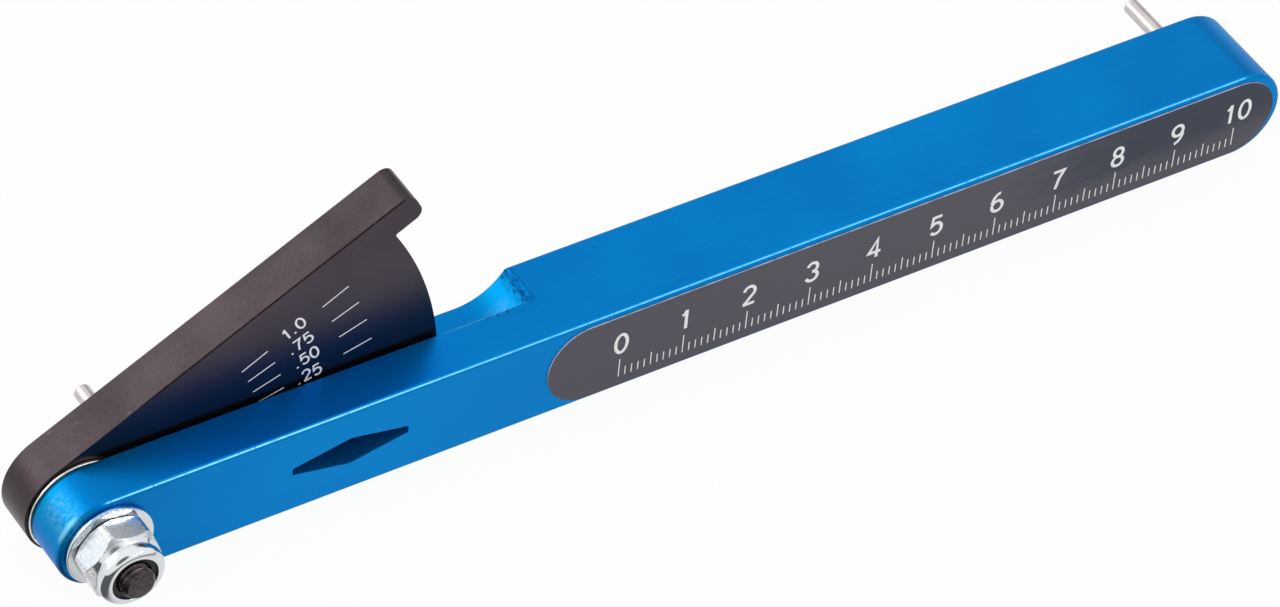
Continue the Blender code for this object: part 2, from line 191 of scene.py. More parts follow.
class Graph:
    """Builds the nodes of one material or of the world."""

    def __init__(self, owner: Union[bpy.types.Material, bpy.types.World]) -> None:
        """Start from an empty node tree.

        Args:
            owner: The material or world that the nodes belong to.
        """
        owner.use_nodes = True
        self.tree = owner.node_tree
        self.tree.nodes.clear()

    def make(
        self,
        kind: str,
        settings: Optional[Dict[str, object]] = None,
        sockets: Optional[Dict[Union[int, str], object]] = None,
    ) -> List[Socket]:
        """Add a node.

        Args:
            kind: The node's type.
            settings: Its own settings, set first.
            sockets: A value or a Socket for each input, by name or number.

        Returns:
            The node's outputs, in order.
        """
        node = self.tree.nodes.new(kind)
        for name, value in (settings or {}).items():
            setattr(node, name, value)
        for key, value in (sockets or {}).items():
            if isinstance(value, Socket):
                self.tree.links.new(value.output, node.inputs[key])
            else:
                node.inputs[key].default_value = value
        return [Socket(self, output) for output in node.outputs]

    def position(self) -> Socket:
        """The point's place in the gauge's frame, in millimetres."""
        place = self.make("ShaderNodeTexCoord")[3]
        return self.make("ShaderNodeVectorMath", {"operation": "SCALE"}, {0: place, 3: 1 / MM})[0]

    def reach(self, place: Socket) -> Socket:
        """How far a place is from the pivot's axis, in millimetres."""
        x, _, z = self.axes(place)
        return ((x - LAYOUT.pivot_x) ** 2.0 + (z - LAYOUT.axis_z) ** 2.0) ** 0.5

    def axes(self, vector: Socket) -> List[Socket]:
        """The three numbers of a vector."""
        return self.make("ShaderNodeSeparateXYZ", {}, {0: vector})

    def stretch(self, vector: Socket, factors: Colour) -> Socket:
        """A vector times a factor along each axis."""
        return self.make("ShaderNodeVectorMath", {"operation": "MULTIPLY"}, {0: vector, 1: factors})[0]

    def noise(self, vector: Socket, scale: float, detail: float = 2.0, roughness: float = 0.5) -> Socket:
        """Smooth noise, from 0 to 1 about 0.5."""
        sockets = {"Vector": vector, "Scale": scale, "Detail": detail, "Roughness": roughness}
        return self.make("ShaderNodeTexNoise", {}, sockets)[0]

    def cells(self, vector: Socket, scale: float) -> Tuple[Socket, Socket]:
        """The distance from the nearest cell's middle, and a number that is random for each cell."""
        made = self.make("ShaderNodeTexVoronoi", {}, {"Vector": vector, "Scale": scale})
        return made[0], self.axes(made[1])[0]

    def rise(self, value: Value, start: float, full: float) -> Socket:
        """A soft step from 0 to 1, which falls where it is full before it starts."""
        settings = {"interpolation_type": "SMOOTHSTEP"}
        return self.make("ShaderNodeMapRange", settings, {0: value, 1: start, 2: full, 3: 0.0, 4: 1.0})[0]

    def blend(self, factor: Value, first: Tint, second: Tint) -> Socket:
        """A mix of two colours, where the factor is the share of the second."""
        pair = [one if isinstance(one, Socket) else (*one, 1.0) for one in (first, second)]
        return self.make("ShaderNodeMix", {"data_type": "RGBA"}, {0: factor, 6: pair[0], 7: pair[1]})[2]

    def layered(self, colour: Tint, layers: Sequence[Tuple[Value, Tint]]) -> Tint:
        """Colours laid over one another.

        Args:
            colour: The lowest colour.
            layers: The share and the colour of each layer, from the lowest up.

        Returns:
            The mixed colour.
        """
        for share, over in layers:
            colour = self.blend(share, colour, over)
        return colour

    @staticmethod
    def mixed(values: Sequence[Socket], weights: Sequence[float]) -> Socket:
        """The sum of the values times their weights."""
        parts = [weight * value for value, weight in zip(values, weights)]
        return sum(parts[1:], parts[0])

    @staticmethod
    def lifted(mask: Socket, floor: float) -> Socket:
        """A mask that falls to a floor and not to 0."""
        return floor + (1 - floor) * mask

    def eased(self, radius: float) -> Socket:
        """Normals that round every sharp edge by a radius in millimetres."""
        return self.make("ShaderNodeBevel", {"samples": BEVEL_SAMPLES}, {"Radius": radius * MM})[0]

    def relief(self, height: Value, depth: float, normal: Optional[Socket] = None) -> Socket:
        """Surface relief.

        Args:
            height: The relief, from 0 to 1.
            depth: How deep it is, in millimetres.
            normal: The normals that it stands on.

        Returns:
            The new normals.
        """
        sockets: Dict[Union[int, str], object] = {"Height": height, "Distance": depth * MM, "Strength": 1.0}
        if normal is not None:
            sockets["Normal"] = normal
        return self.make("ShaderNodeBump", {}, sockets)[0]


Surface = Dict[str, Union[Socket, float, Tuple[float, ...]]]


@dataclass(frozen=True)
class Grain:
    """A noise pattern, its stretch along each axis, and the limits between which its mask rises."""

    scale: float
    detail: float = 3.0
    roughness: float = 0.5
    stretch: Colour = (1.0, 1.0, 1.0)
    limits: Limits = (0.4, 0.6)

    def read(self, graph: Graph, place: Socket) -> Socket:
        """The pattern at a place, from 0 to 1 about 0.5."""
        return graph.noise(graph.stretch(place, self.stretch), self.scale, self.detail, self.roughness)

    def mask(self, graph: Graph, place: Socket) -> Socket:
        """The patches where the pattern is past its limits."""
        return graph.rise(self.read(graph, place), *self.limits)


class Zone:
    """A soft-edged part of a piece, where one colour lies.

    Each limit gives where the zone starts and where it is full. If the zone ends again, two more numbers
    give where it is last full and where it has ended.
    """

    def __init__(self, strength: float = 1.0, **limits: Limits) -> None:
        """Keep what the zone reaches inside its limits, and the limits by name."""
        self.strength = strength
        self.limits = limits

    def mask(self, graph: Graph, at: Dict[str, Socket]) -> Socket:
        """The zone as a mask.

        Args:
            graph: The material's graph.
            at: What the limits are compared with, by name.

        Returns:
            The mask, from 0 to the zone's strength.
        """
        mask: Value = self.strength
        for name, limits in self.limits.items():
            mask = mask * graph.rise(at[name], *limits[:2])
            if len(limits) > 2:
                mask = mask * graph.rise(at[name], *limits[:1:-1])
        return mask


@dataclass(frozen=True)
class Finish:
    """A finish, which becomes one material, with the depth and the eased edges of its relief in mm.

    In the finishes a mix holds the weights of several noises, a floor is the least that a mask falls to,
    and a share is the most that a colour covers.
    """

    name: str
    slot: Optional[Slot] = None
    metallic: float = 0.0
    specular: float = 0.5
    smooth: float = 0.5
    dulled: float = 0.1
    depth: float = 0.0
    easing: float = 0.0

    def surface(self, graph: Graph) -> Surface:
        """The Principled shader's sockets: a value or a Socket by the input's name."""
        raise NotImplementedError

    def dressed(self, graph: Graph, colour: Tint, dulling: Value, raised: Socket) -> Surface:
        """The sockets that every finish sets.

        Args:
            graph: The material's graph.
            colour: The base colour.
            dulling: What is added to the smooth surface's roughness.
            raised: The relief, from 0 to 1.

        Returns:
            A value or a Socket by the input's name.
        """
        sockets: Surface = {
            "Base Color": colour,
            "Metallic": self.metallic,
            "Specular IOR Level": self.specular,
            "Roughness": self.smooth + dulling,
        }
        if self.depth:
            eased = graph.eased(self.easing) if self.easing else None
            sockets["Normal"] = graph.relief(raised, self.depth, eased)
        return sockets

    def material(self) -> bpy.types.Material:
        """The finish's material, made on first use.

        Returns:
            The material.
        """
        made = bpy.data.materials.get(self.name)
        if made is None:
            made = bpy.data.materials.new(self.name)
            graph = Graph(made)
            shader = graph.make("ShaderNodeBsdfPrincipled", {}, dict(self.surface(graph)))[0]
            graph.make("ShaderNodeOutputMaterial", {}, {"Surface": shader})
        return made


@dataclass(frozen=True)
class BlueAnodised(Finish):
    """Satin blue anodised aluminium, with pits, burr marks round the milled ledge, pale edges that are partly
    wear and partly painted highlight, and painted light and shade in places.
    """

    name: str = "satin_blue_anodised"
    slot: Optional[Slot] = Slot.BLUE
    metallic: float = 0.74
    specular: float = 0.05
    smooth: float = 0.27
    dulled: float = 0.14
    drift_dulled: float = 0.06
    depth: float = 0.006
    easing: float = 0.14
    deep: Colour = (0.0, 0.172, 0.520)
    clear: Colour = (0.0, 0.230, 0.610)
    # Painted light: the brighter cyan blue of the lit ramp and pivot end.
    cyan: Colour = (0.0, 0.285, 0.560)
    # Painted light: the lighter blue of the wall's top beside the arm.
    royal: Colour = (0.0, 0.185, 0.760)
    dark_teal_shade: Colour = (0.0, 0.07, 0.12)
    grazing: Colour = (0.72, 0.82, 0.96)
    # Painted light: the lighter blue of the front face.
    lit: Colour = (0.0, 0.262, 0.690)
    bright: Colour = (0.0, 0.34, 0.80)
    # Pale blue for worn edges and for painted highlights.
    pale: Colour = (0.34, 0.84, 1.0)
    # Dark colour of real pits and burr marks, also used for painted shade on the ramp's lip and the pivot
    # end's low edge.
    pit_and_shade: Colour = (0.0, 0.03, 0.12)
    frosted: Colour = (0.20, 0.44, 0.84)
    drawn: Grain = Grain(1.6, 3.0, 0.6, (0.04, 2.2, 2.2))
    fine: Grain = Grain(5.0, 3.0, 0.6)
    drift: Grain = Grain(0.05, 2.0)
    broken: Grain = Grain(0.55, 4.0, 0.7, (1.0, 0.0, 0.0), (0.3, 0.56))
    unnicked: Grain = Grain(1.3, 2.0, 0.5, (1.0, 0.0, 0.0), (0.66, 0.61))
    torn: Grain = Grain(1.1, 4.0, 0.75, (1.8, 0.9, 1.8))
    worn: Grain = Grain(1.6, 5.0, 0.8, limits=(0.42, 0.66))
    lip_x: float = -21.97
    wall_lip_x: float = -27.0
    pit_scale: float = 0.55
    tones: Limits = (0.3, 0.7)
    tone_mix: Colour = (0.55, 0.2, 0.25)
    relief_mix: Point = (0.5, 0.5)
    edge_floor: float = 0.35
    edge_share: float = 0.45
    frost_floor: float = 0.5
    pits: Zone = Zone(speck=(0.09, 0.03), luck=(0.88, 0.9))
    tip: Zone = Zone(0.12, x=(-89.5, -95.0))
    tip_top: Zone = Zone(0.8, x=(-89.5, -95.0), z=(7.0, 12.0))
    ramp: Zone = Zone(0.5, x=(-28.27, -24.77), y=(0.0, 0.1), z=(14.1, 12.6))
    front: Zone = Zone(0.55, x=(-84.0, -60.0), y=(-6.9, -7.1))
    beside_arm: Zone = Zone(0.8, x=(-86.0, -72.0, -48.0, -30.0), y=(0.2, 0.0), z=(14.05, 14.25))
    edge_glow: Zone = Zone(0.5, brow=(20.98, 21.08))
    front_edge: Zone = Zone(brow=(21.074, 21.094))
    near_end: Zone = Zone(0.35, x=(-20.0, -60.0))
    lip_shade: Zone = Zone(0.3, x=(-22.27, -21.77, -21.16, -20.86), y=(0.0, 0.1), z=(13.0, 13.4))
    lip: Zone = Zone(0.7, y=(-0.6, 0.2), from_lip=(1.0, 0.02), torn=(0.48, 0.58))
    wall_lip: Zone = Zone(0.7, y=(-1.4, -0.3, 0.0, 0.1), from_wall_lip=(14.0, 2.0), torn=(0.52, 0.62))
    wall_edge: Zone = Zone(0.3, x=(-36.0, -34.0, -26.77, -24.77), y=(-0.16, -0.05, 0.0, 0.1), z=(14.1, 14.25))
    smear: Zone = Zone(0.45, x=(-26.8, -25.6, -24.4, -22.8), y=(0.0, 0.1, 2.5, 5.0))
    low_edge_shade: Zone = Zone(0.9, x=(-88.0, -91.5), y=(-6.0, -6.5), z=(9.0, 4.5), reach=(6.5, 6.7))
    glint: Zone = Zone(0.4, x=(-90.5, -92.0), y=(-6.95, -6.75, -6.3, -5.9), z=(9.0, 10.8, 12.2, 13.2))
    frosted_end: Zone = Zone(0.4, x=(-89.5, -95.0), y=(-0.8, -2.0), z=(9.3, 11.2, 13.0, 13.9))
    frosted_low: Zone = Zone(0.4, x=(-89.5, -95.0), y=(-4.2, -2.0), z=(8.0, 4.0))
    lap_rim_shade: Zone = Zone(0.9, x=(-84.0, -88.0), y=(-0.42, -0.3), reach=(7.0, 7.1))

    def surface(self, graph: Graph) -> Surface:
        """Satin metal whose colour drifts slowly, over fine drawn lines along the bar.

        Args:
            graph: The material's graph.

        Returns:
            A value or a Socket by the input's name.
        """
        place = graph.position()
        x, y, z = graph.axes(place)
        at = {"x": x, "y": y, "z": z, "brow": z - y, "reach": graph.reach(place)}
        at["from_lip"] = (x - self.lip_x) ** 2.0
        at["from_wall_lip"] = (x - self.wall_lip_x) ** 2.0
        grains = (self.drawn, self.fine, self.drift, self.torn)
        drawn, fine, drift, at["torn"] = (grain.read(graph, place) for grain in grains)
        patches = (self.broken, self.unnicked, self.worn)
        broken, whole, worn = (grain.mask(graph, place) for grain in patches)
        tone = graph.rise(graph.mixed((drift, drawn, fine), self.tone_mix), *self.tones)
        at["speck"], luck = graph.cells(place, self.pit_scale)
        at["luck"] = luck + self.tip.mask(graph, at)

        # The front top edge's pale line is partly worn edge and partly a painted highlight; nicks break it,
        # and it is stronger towards the pivot end.
        edge = self.front_edge.mask(graph, at) * graph.lifted(broken, self.edge_floor) * whole
        burrs = self.lip.mask(graph, at) | self.wall_lip.mask(graph, at)
        frost = (self.frosted_end.mask(graph, at) | self.smear.mask(graph, at)) * worn
        low_frost = self.frosted_low.mask(graph, at) * graph.lifted(worn, self.frost_floor)
        layers = [
            # Painted light: the pivot end's upper part and the ramp are painted a brighter cyan blue.
            (self.tip_top.mask(graph, at) | self.ramp.mask(graph, at), self.cyan),
            # Painted light: the front face, away from the pivot end, is painted a lighter blue.
            (self.front.mask(graph, at), self.lit),
            # Painted light: the front wall's top face beside the arm is painted a lighter, bluer tone.
            (self.beside_arm.mask(graph, at), self.royal),
            # Painted highlight: a brighter blue glow band along the front top edge.
            (self.edge_glow.mask(graph, at), self.bright),
            ((self.edge_share + self.near_end.mask(graph, at)) * edge, self.pale),
            # Painted shade: a dark band along the ramp's rolled lip.
            (self.lip_shade.mask(graph, at), self.pit_and_shade),
            (self.pits.mask(graph, at) | burrs, self.pit_and_shade),
            # A broken pale line along the wall's top back edge by the ledge: partly worn edge, partly painted
            # highlight.
            (self.wall_edge.mask(graph, at) * broken, self.pale),
            # Painted shade: a dark band on the lower front rounded edge of the pivot end.
            (self.low_edge_shade.mask(graph, at), self.pit_and_shade),
            # Painted highlight: a pale streak on the pivot end's front rounded edge.
            (self.glint.mask(graph, at), self.pale),
            (frost | low_frost, self.frosted),
            # Painted shade: a dark teal rim where the pivot end's round face meets the wall's back edge.
            (self.lap_rim_shade.mask(graph, at), self.dark_teal_shade),
        ]
        colour = graph.layered(graph.blend(tone, self.deep, self.clear), layers)
        dulling = self.dulled * fine + self.drift_dulled * drift
        sockets = self.dressed(graph, colour, dulling, graph.mixed((drawn, fine), self.relief_mix))
        sockets["Specular Tint"] = (*self.grazing, 1.0)
        return sockets


@dataclass(frozen=True)
class BlackAnodised(Finish):
    """Matte black anodised aluminium with a warm cast, brushed along the arm, with painted light on its front
    face and painted shade low on its front and along its top front edge.
    """

    name: str = "matte_black_anodised"
    slot: Optional[Slot] = Slot.BLACK
    metallic: float = 0.95
    smooth: float = 0.29
    dulled: float = 0.12
    depth: float = 0.008
    easing: float = 0.12
    tones: Limits = (0.32, 0.68)
    tone_mix: Colour = (0.16, 0.44, 0.4)
    relief_mix: Point = (0.3, 0.7)
    shade_break_floor: float = 0.35
    line_share: float = 0.5
    dark: Colour = (0.040, 0.032, 0.035)
    light: Colour = (0.080, 0.063, 0.067)
    scratch: Colour = (0.16, 0.15, 0.155)
    # Painted light: the lighter, more purple tone of the front face.
    face: Colour = (0.098, 0.080, 0.100)
    # Painted shade: the dark of the front face's lower part and of the line along the top front edge.
    shaded: Colour = (0.016, 0.008, 0.007)
    brushed: Grain = Grain(2.2, 4.0, 0.65, (0.12, 3.0, 3.0))
    fine: Grain = Grain(7.0, 3.0, 0.65)
    drift: Grain = Grain(0.12)
    lines: Grain = Grain(1.1, 2.0, 0.5, (0.25, 2.4, 2.4), (0.73, 0.78))
    shade_breaks: Grain = Grain(0.9, 4.0, 0.75, (1.0, 0.0, 0.0), (0.3, 0.5))
    front: Zone = Zone(0.47, y=(0.7, 0.62))
    low_front: Zone = Zone(0.62, y=(0.7, 0.62), z=(31.0, 13.0))
    top_edge: Zone = Zone(brow=(7.01, 7.04), along=(9.0, 18.0))

    def surface(self, graph: Graph) -> Surface:
        """Dark satin metal under fine brushing, with a few light scratches.

        Args:
            graph: The material's graph.

        Returns:
            A value or a Socket by the input's name.
        """
        settings = {"vector_type": "TEXTURE"}
        rotation = (0.0, -LAYOUT.rest_angle, 0.0)
        sockets = {"Vector": graph.position(), "Location": tuple(LAYOUT.pivot), "Rotation": rotation}
        place = graph.make("ShaderNodeMapping", settings, sockets)[0]
        _, y, z = graph.axes(graph.position())
        along, _, up = graph.axes(place)
        at = {"y": y, "z": z, "along": along, "brow": up - y}
        brushed, fine, drift = (grain.read(graph, place) for grain in (self.brushed, self.fine, self.drift))
        tone = graph.rise(graph.mixed((brushed, fine, drift), self.tone_mix), *self.tones)
        broken_shade = graph.lifted(self.shade_breaks.mask(graph, place), self.shade_break_floor)
        layers = [
            (self.line_share * self.lines.mask(graph, place), self.scratch),
            # Painted light: the front face is painted lighter and more purple than the rest.
            (self.front.mask(graph, at), self.face),
            # Painted shade: the front face darkens towards its lower part, next to the bar's top.
            (self.low_front.mask(graph, at), self.shaded),
            # Painted shade: a broken dark line along the top front edge, from about 9 mm out from the pivot
            # onwards.
            (self.top_edge.mask(graph, at) * broken_shade, self.shaded),
        ]
        colour = graph.layered(graph.blend(tone, self.dark, self.light), layers)
        raised = graph.mixed((brushed, fine), self.relief_mix)
        return self.dressed(graph, colour, self.dulled * fine, raised)


@dataclass(frozen=True)
class ZincPlate(Finish):
    """Bright zinc plating with cool, cloudy spangle, a painted blue reflection on the washer's top rim,
    painted shade at the nut's foot and painted light on the nut's lower left flat.
    """

    name: str = "bright_zinc_plate"
    slot: Optional[Slot] = Slot.ZINC
    metallic: float = 1.0
    painted_light_metallic: float = 0.15
    smooth: float = 0.07
    dulled: float = 0.2
    flats_dulled: float = 0.12
    depth: float = 0.014
    easing: float = 0.1
    patch_mix: Point = (0.65, 0.35)
    relief_mix: Point = (0.5, 0.5)
    patch_floor: float = 0.12
    relief_floor: float = 0.15
    painted_light_floor: float = 0.6
    patch_share: float = 0.85
    painted_light_share: float = 0.9
    patches: Limits = (0.45, 0.6)
    clouded: Limits = (0.4, 0.5)
    bright: Colour = (0.74, 0.76, 0.78)
    cool: Colour = (0.38, 0.50, 0.60)
    # Painted reflection: the bar's blue on the washer's top rim.
    blue_reflection: Colour = (0.28, 0.42, 0.68)
    # Painted shade: the dark of the line where the nut meets the washer.
    contact_shade: Colour = (0.10, 0.11, 0.13)
    # Painted light: the pale white of the nut's lower left flat.
    painted_light_white: Colour = (0.88, 0.89, 0.90)
    cloud: Grain = Grain(2.2, 4.0, 0.7)
    fine: Grain = Grain(7.0, 3.0, 0.6)
    low_turn: float = math.radians(200)
    left_turn: float = math.radians(140)
    flats: Zone = Zone(y=(-8.05, -8.2), reach=(4.8, 4.95))
    washer_top_reflection: Zone = Zone(0.8, z=(10.5, 12.6), reach=(5.95, 6.15), cloud=(0.38, 0.5))
    foot: Zone = Zone(0.8, y=(-8.02, -8.06, -8.12, -8.2))
    painted_light_side: Zone = Zone(y=(-8.1, -8.2, -12.35, -12.45), to_left=(4.9, 4.8), to_low=(3.5, 3.9))

    @staticmethod
    def _toward(x: Socket, z: Socket, turn: float) -> Socket:
        """How far out from the pivot's axis a point lies, measured toward an angle."""
        return (x - LAYOUT.pivot_x) * math.cos(turn) + (z - LAYOUT.axis_z) * math.sin(turn)

    def surface(self, graph: Graph) -> Surface:
        """Mirror-like metal, with cloudy patches where the nut's cold-formed flats are.

        Args:
            graph: The material's graph.

        Returns:
            A value or a Socket by the input's name.
        """
        place = graph.position()
        x, y, z = graph.axes(place)
        at = {"y": y, "z": z, "reach": graph.reach(place)}
        at["to_left"] = self._toward(x, z, self.left_turn)
        at["to_low"] = self._toward(x, z, self.low_turn)
        flats = self.flats.mask(graph, at)
        cloud, fine = (grain.read(graph, place) for grain in (self.cloud, self.fine))
        at["cloud"] = cloud
        patch = graph.rise(graph.mixed((cloud, fine), self.patch_mix), *self.patches)
        patch = patch * graph.lifted(flats, self.patch_floor)
        # Painted light: the nut's lower left flat is painted a pale, less metallic white in cloudy patches.
        painted_light = self.painted_light_side.mask(graph, at) * graph.lifted(graph.rise(cloud, *self.clouded), self.painted_light_floor)
        layers = [
            (self.patch_share * patch, self.cool),
            # Painted reflection: patchy blue from the bar on the top of the washer's rim.
            (self.washer_top_reflection.mask(graph, at), self.blue_reflection),
            # Painted shade: a dark line at the nut's foot, next to the washer.
            (self.foot.mask(graph, at), self.contact_shade),
            (self.painted_light_share * painted_light, self.painted_light_white),
        ]
        raised = graph.mixed((cloud, fine), self.relief_mix) * graph.lifted(flats, self.relief_floor)
        dulling = self.dulled * patch + self.flats_dulled * flats
        sockets = self.dressed(graph, graph.layered(self.bright, layers), dulling, raised)
        sockets["Metallic"] = self.metallic - (self.metallic - self.painted_light_metallic) * painted_light
        return sockets


@dataclass(frozen=True)
class GroundSteel(Finish):
    """A dowel pin's ground steel, with fine rings round it."""

    name: str = "ground_pin_steel"
    slot: Optional[Slot] = Slot.PIN
    metallic: float = 1.0
    smooth: float = 0.22
    dulled: float = 0.12
    depth: float = 0.0015
    easing: float = 0.06
    tones: Limits = (0.35, 0.65)
    tone_mix: Point = (0.6, 0.4)
    bright: Colour = (0.64, 0.60, 0.59)
    dull: Colour = (0.53, 0.49, 0.48)
    rings: Grain = Grain(1.6, 3.0, 0.6, (0.25, 5.0, 0.25))
    stain: Grain = Grain(0.8)

    def surface(self, graph: Graph) -> Surface:
        """Satin metal with rings across the pin's axis.

        Args:
            graph: The material's graph.

        Returns:
            A value or a Socket by the input's name.
        """
        place = graph.position()
        rings, stain = (grain.read(graph, place) for grain in (self.rings, self.stain))
        tone = graph.rise(graph.mixed((rings, stain), self.tone_mix), *self.tones)
        return self.dressed(graph, graph.blend(tone, self.dull, self.bright), self.dulled * rings, rings)


@dataclass(frozen=True)
class BlackOxide(Finish):
    """Black oxide on the pivot screw, rubbed to brown metal on the thread's crests and the rims."""

    name: str = "rubbed_black_oxide"
    slot: Optional[Slot] = Slot.OXIDE
    metallic: float = 1.0
    smooth: float = 0.24
    dulled: float = 0.12
    depth: float = 0.004
    easing: float = 0.06
    tones: Limits = (0.4, 0.7)
    dark: Colour = (0.052, 0.046, 0.052)
    brown: Colour = (0.095, 0.080, 0.080)
    rubbed: Colour = (0.46, 0.36, 0.32)
    worn: Grain = Grain(1.5, 3.0, 0.6)
    crest: Zone = Zone(0.8, reach=(2.2, 2.42, 2.5, 2.6), worn=(0.3, 0.6))

    def surface(self, graph: Graph) -> Surface:
        """Dark metal that turns brown and bright towards the thread's crests.

        Args:
            graph: The material's graph.

        Returns:
            A value or a Socket by the input's name.
        """
        place = graph.position()
        worn = self.worn.read(graph, place)
        colour = graph.blend(graph.rise(worn, *self.tones), self.dark, self.brown)
        crest = self.crest.mask(graph, {"reach": graph.reach(place), "worn": worn})
        return self.dressed(graph, graph.blend(crest, colour, self.rubbed), self.dulled * worn, worn)


@dataclass(frozen=True)
class LabelFilm(Finish):
    """Charcoal printed film, faintly uneven and lightly rubbed, with painted shade that turns its upper right
    end darker and bluer.
    """

    name: str = "charcoal_label_film"
    slot: Optional[Slot] = Slot.FILM
    specular: float = 0.42
    smooth: float = 0.3
    dulled: float = 0.12
    rub_dulled: float = 0.1
    rub_share: float = 0.35
    wander: Point = (20.0, 4.0)
    depth: float = 0.012
    easing: float = 0.05
    warm: Colour = (0.060, 0.055, 0.077)
    # Painted shade: the dark blue of the film's upper right end.
    cool: Colour = (0.001, 0.010, 0.036)
    rub: Colour = (0.085, 0.082, 0.098)
    cloud: Grain = Grain(1.0, 3.0, 0.6, (0.12, 0.5, 0.5))
    peel: Grain = Grain(1.8, 2.0)
    rubs: Grain = Grain(1.5, 3.0, 0.6, (0.15, 1.8, 1.8), (0.62, 0.8))
    dark_end_shade: Zone = Zone(0.95, x=(46.0, 74.0), z=(2.5, 8.0))

    def surface(self, graph: Graph) -> Surface:
        """Smooth film with soft clouds, an orange-peel surface and a few rubs along the bar.

        Args:
            graph: The material's graph.

        Returns:
            A value or a Socket by the input's name.
        """
        place = graph.position()
        x, _, z = graph.axes(place)
        cloud, peel = (grain.read(graph, place) for grain in (self.cloud, self.peel))
        rubs = self.rubs.mask(graph, place)
        drift = cloud - 0.5
        at = {"x": x + self.wander[0] * drift, "z": z + self.wander[1] * drift}
        # Painted shade: the film turns darker and bluer towards its upper right end.
        layers = [(self.dark_end_shade.mask(graph, at), self.cool), (self.rub_share * rubs, self.rub)]
        colour = graph.layered(self.warm, layers)
        return self.dressed(graph, colour, self.dulled * cloud + self.rub_dulled * rubs, peel)


@dataclass(frozen=True)
class Mottled(Finish):
    """A plainer finish, whose two colours, roughness and relief all follow one noise."""

    first: Colour = (0.5, 0.5, 0.5)
    second: Colour = (0.5, 0.5, 0.5)
    mottle: Grain = Grain(1.0)

    def surface(self, graph: Graph) -> Surface:
        """The first colour turns into the second, and the surface duller, as the noise rises.

        Args:
            graph: The material's graph.

        Returns:
            A value or a Socket by the input's name.
        """
        noise = self.mottle.read(graph, graph.position())
        colour = graph.blend(graph.rise(noise, *self.mottle.limits), self.first, self.second)
        return self.dressed(graph, colour, self.dulled * noise, noise)


@dataclass(frozen=True)
class StampedSteel(Mottled):
    """A stamped washer's bright steel, with a slightly torn edge."""

    name: str = "stamped_bright_steel"
    slot: Optional[Slot] = Slot.BRIGHT
    first: Colour = (0.86, 0.85, 0.83)
    second: Colour = (0.62, 0.61, 0.62)
    mottle: Grain = Grain(2.2, 4.0, 0.7, (1.0, 3.0, 1.0), (0.4, 0.7))
    metallic: float = 1.0
    smooth: float = 0.16
    dulled: float = 0.14
    depth: float = 0.015
    easing: float = 0.08


@dataclass(frozen=True)
class DarkNylon(Mottled):
    """The locking ring's dark nylon, dull and slightly scuffed."""

    name: str = "dark_nylon"
    slot: Optional[Slot] = Slot.NYLON
    first: Colour = (0.006, 0.005, 0.006)
    second: Colour = (0.014, 0.012, 0.013)
    mottle: Grain = Grain(3.0, limits=(0.35, 0.7))
    specular: float = 0.3
    smooth: float = 0.36
    dulled: float = 0.15
    depth: float = 0.01


@dataclass(frozen=True)
class FilmCore(Mottled):
    """The film's pale core, seen on its cut rim."""

    name: str = "pale_film_core"
    slot: Optional[Slot] = Slot.FILM
    first: Colour = (0.78, 0.74, 0.80)
    second: Colour = (0.48, 0.46, 0.52)
    mottle: Grain = Grain(1.0, stretch=(0.5, 0.1, 0.5), limits=(0.4, 0.65))
    dulled: float = 0.2


@dataclass(frozen=True)
class WhiteInk(Mottled):
    """White print, thin enough to look slightly uneven."""

    name: str = "white_ink"
    first: Colour = (0.94, 0.94, 0.93)
    second: Colour = (0.74, 0.74, 0.75)
    mottle: Grain = Grain(4.0, 3.0, 0.6, limits=(0.45, 0.75))
    dulled: float = 0.15


class Outline:
    """Outlines in the XZ plane, as points in millimetres."""

    @staticmethod
    def polar(radius: float, angle: float) -> Vector:
        """The point at a distance and an angle from the origin."""
        return Vector((radius * math.cos(angle), radius * math.sin(angle)))

    @classmethod
    def arc(cls, centre: Spot, radius: float, start: float, end: float, steps: int) -> List[Vector]:
        """The points of an arc, both ends included."""
        sweep = end - start
        return [Vector(centre) + cls.polar(radius, start + sweep * i / steps) for i in range(steps + 1)]

    @classmethod
    def fillet(cls, before: Vector, corner: Vector, after: Vector, radius: float, steps: int) -> List[Vector]:
        """The arc that stands for a corner.

        Args:
            before: The point before the corner.
            corner: The corner.
            after: The point after it.
            radius: The arc's radius.
            steps: How many chords it has.

        Returns:
            The arc's points.
        """
        back = (before - corner).normalized()
        on = (after - corner).normalized()
        half = back.angle(on) / 2
        start = corner + back * (radius / math.tan(half))
        end = corner + on * (radius / math.tan(half))
        centre = corner + (back + on).normalized() * (radius / math.sin(half))
        first = math.atan2(*(start - centre).yx)
        sweep = (math.atan2(*(end - centre).yx) - first + math.pi) % (2 * math.pi) - math.pi
        return cls.arc(centre, radius, first, first + sweep, steps)

    @classmethod
    def rounded(cls, corners: Sequence[Tuple[Spot, float]], steps: int = 10) -> List[Vector]:
        """A closed outline with round corners.

        Args:
            corners: (point, radius) pairs, where a radius of 0 leaves the corner sharp.
            steps: How many chords each round corner has.

        Returns:
            The outline's points.
        """
        spots = [Vector(corner) for corner, _ in corners]
        points: List[Vector] = []
        for i, (_, radius) in enumerate(corners):
            after = spots[(i + 1) % len(spots)]
            points += cls.fillet(spots[i - 1], spots[i], after, radius, steps) if radius else [spots[i]]
        return points

    @classmethod
    def stadium(cls, left_x: float, right_x: float, z: float, radius: float, steps: int = 72) -> List[Vector]:
        """A bar's outline with two round ends, each centred at the height z."""
        right = cls.arc((right_x, z), radius, -QUARTER, QUARTER, steps)
        return right + cls.arc((left_x, z), radius, QUARTER, 3 * QUARTER, steps)

    @classmethod
    def hexagon(cls, centre: Spot, width: float, turn: float) -> List[Vector]:
        """A hexagon of a width across flats, turned by an angle."""
        radius = width / 2 / math.cos(math.pi / 6)
        return [Vector(centre) + cls.polar(radius, turn + i * math.pi / 3) for i in range(6)]


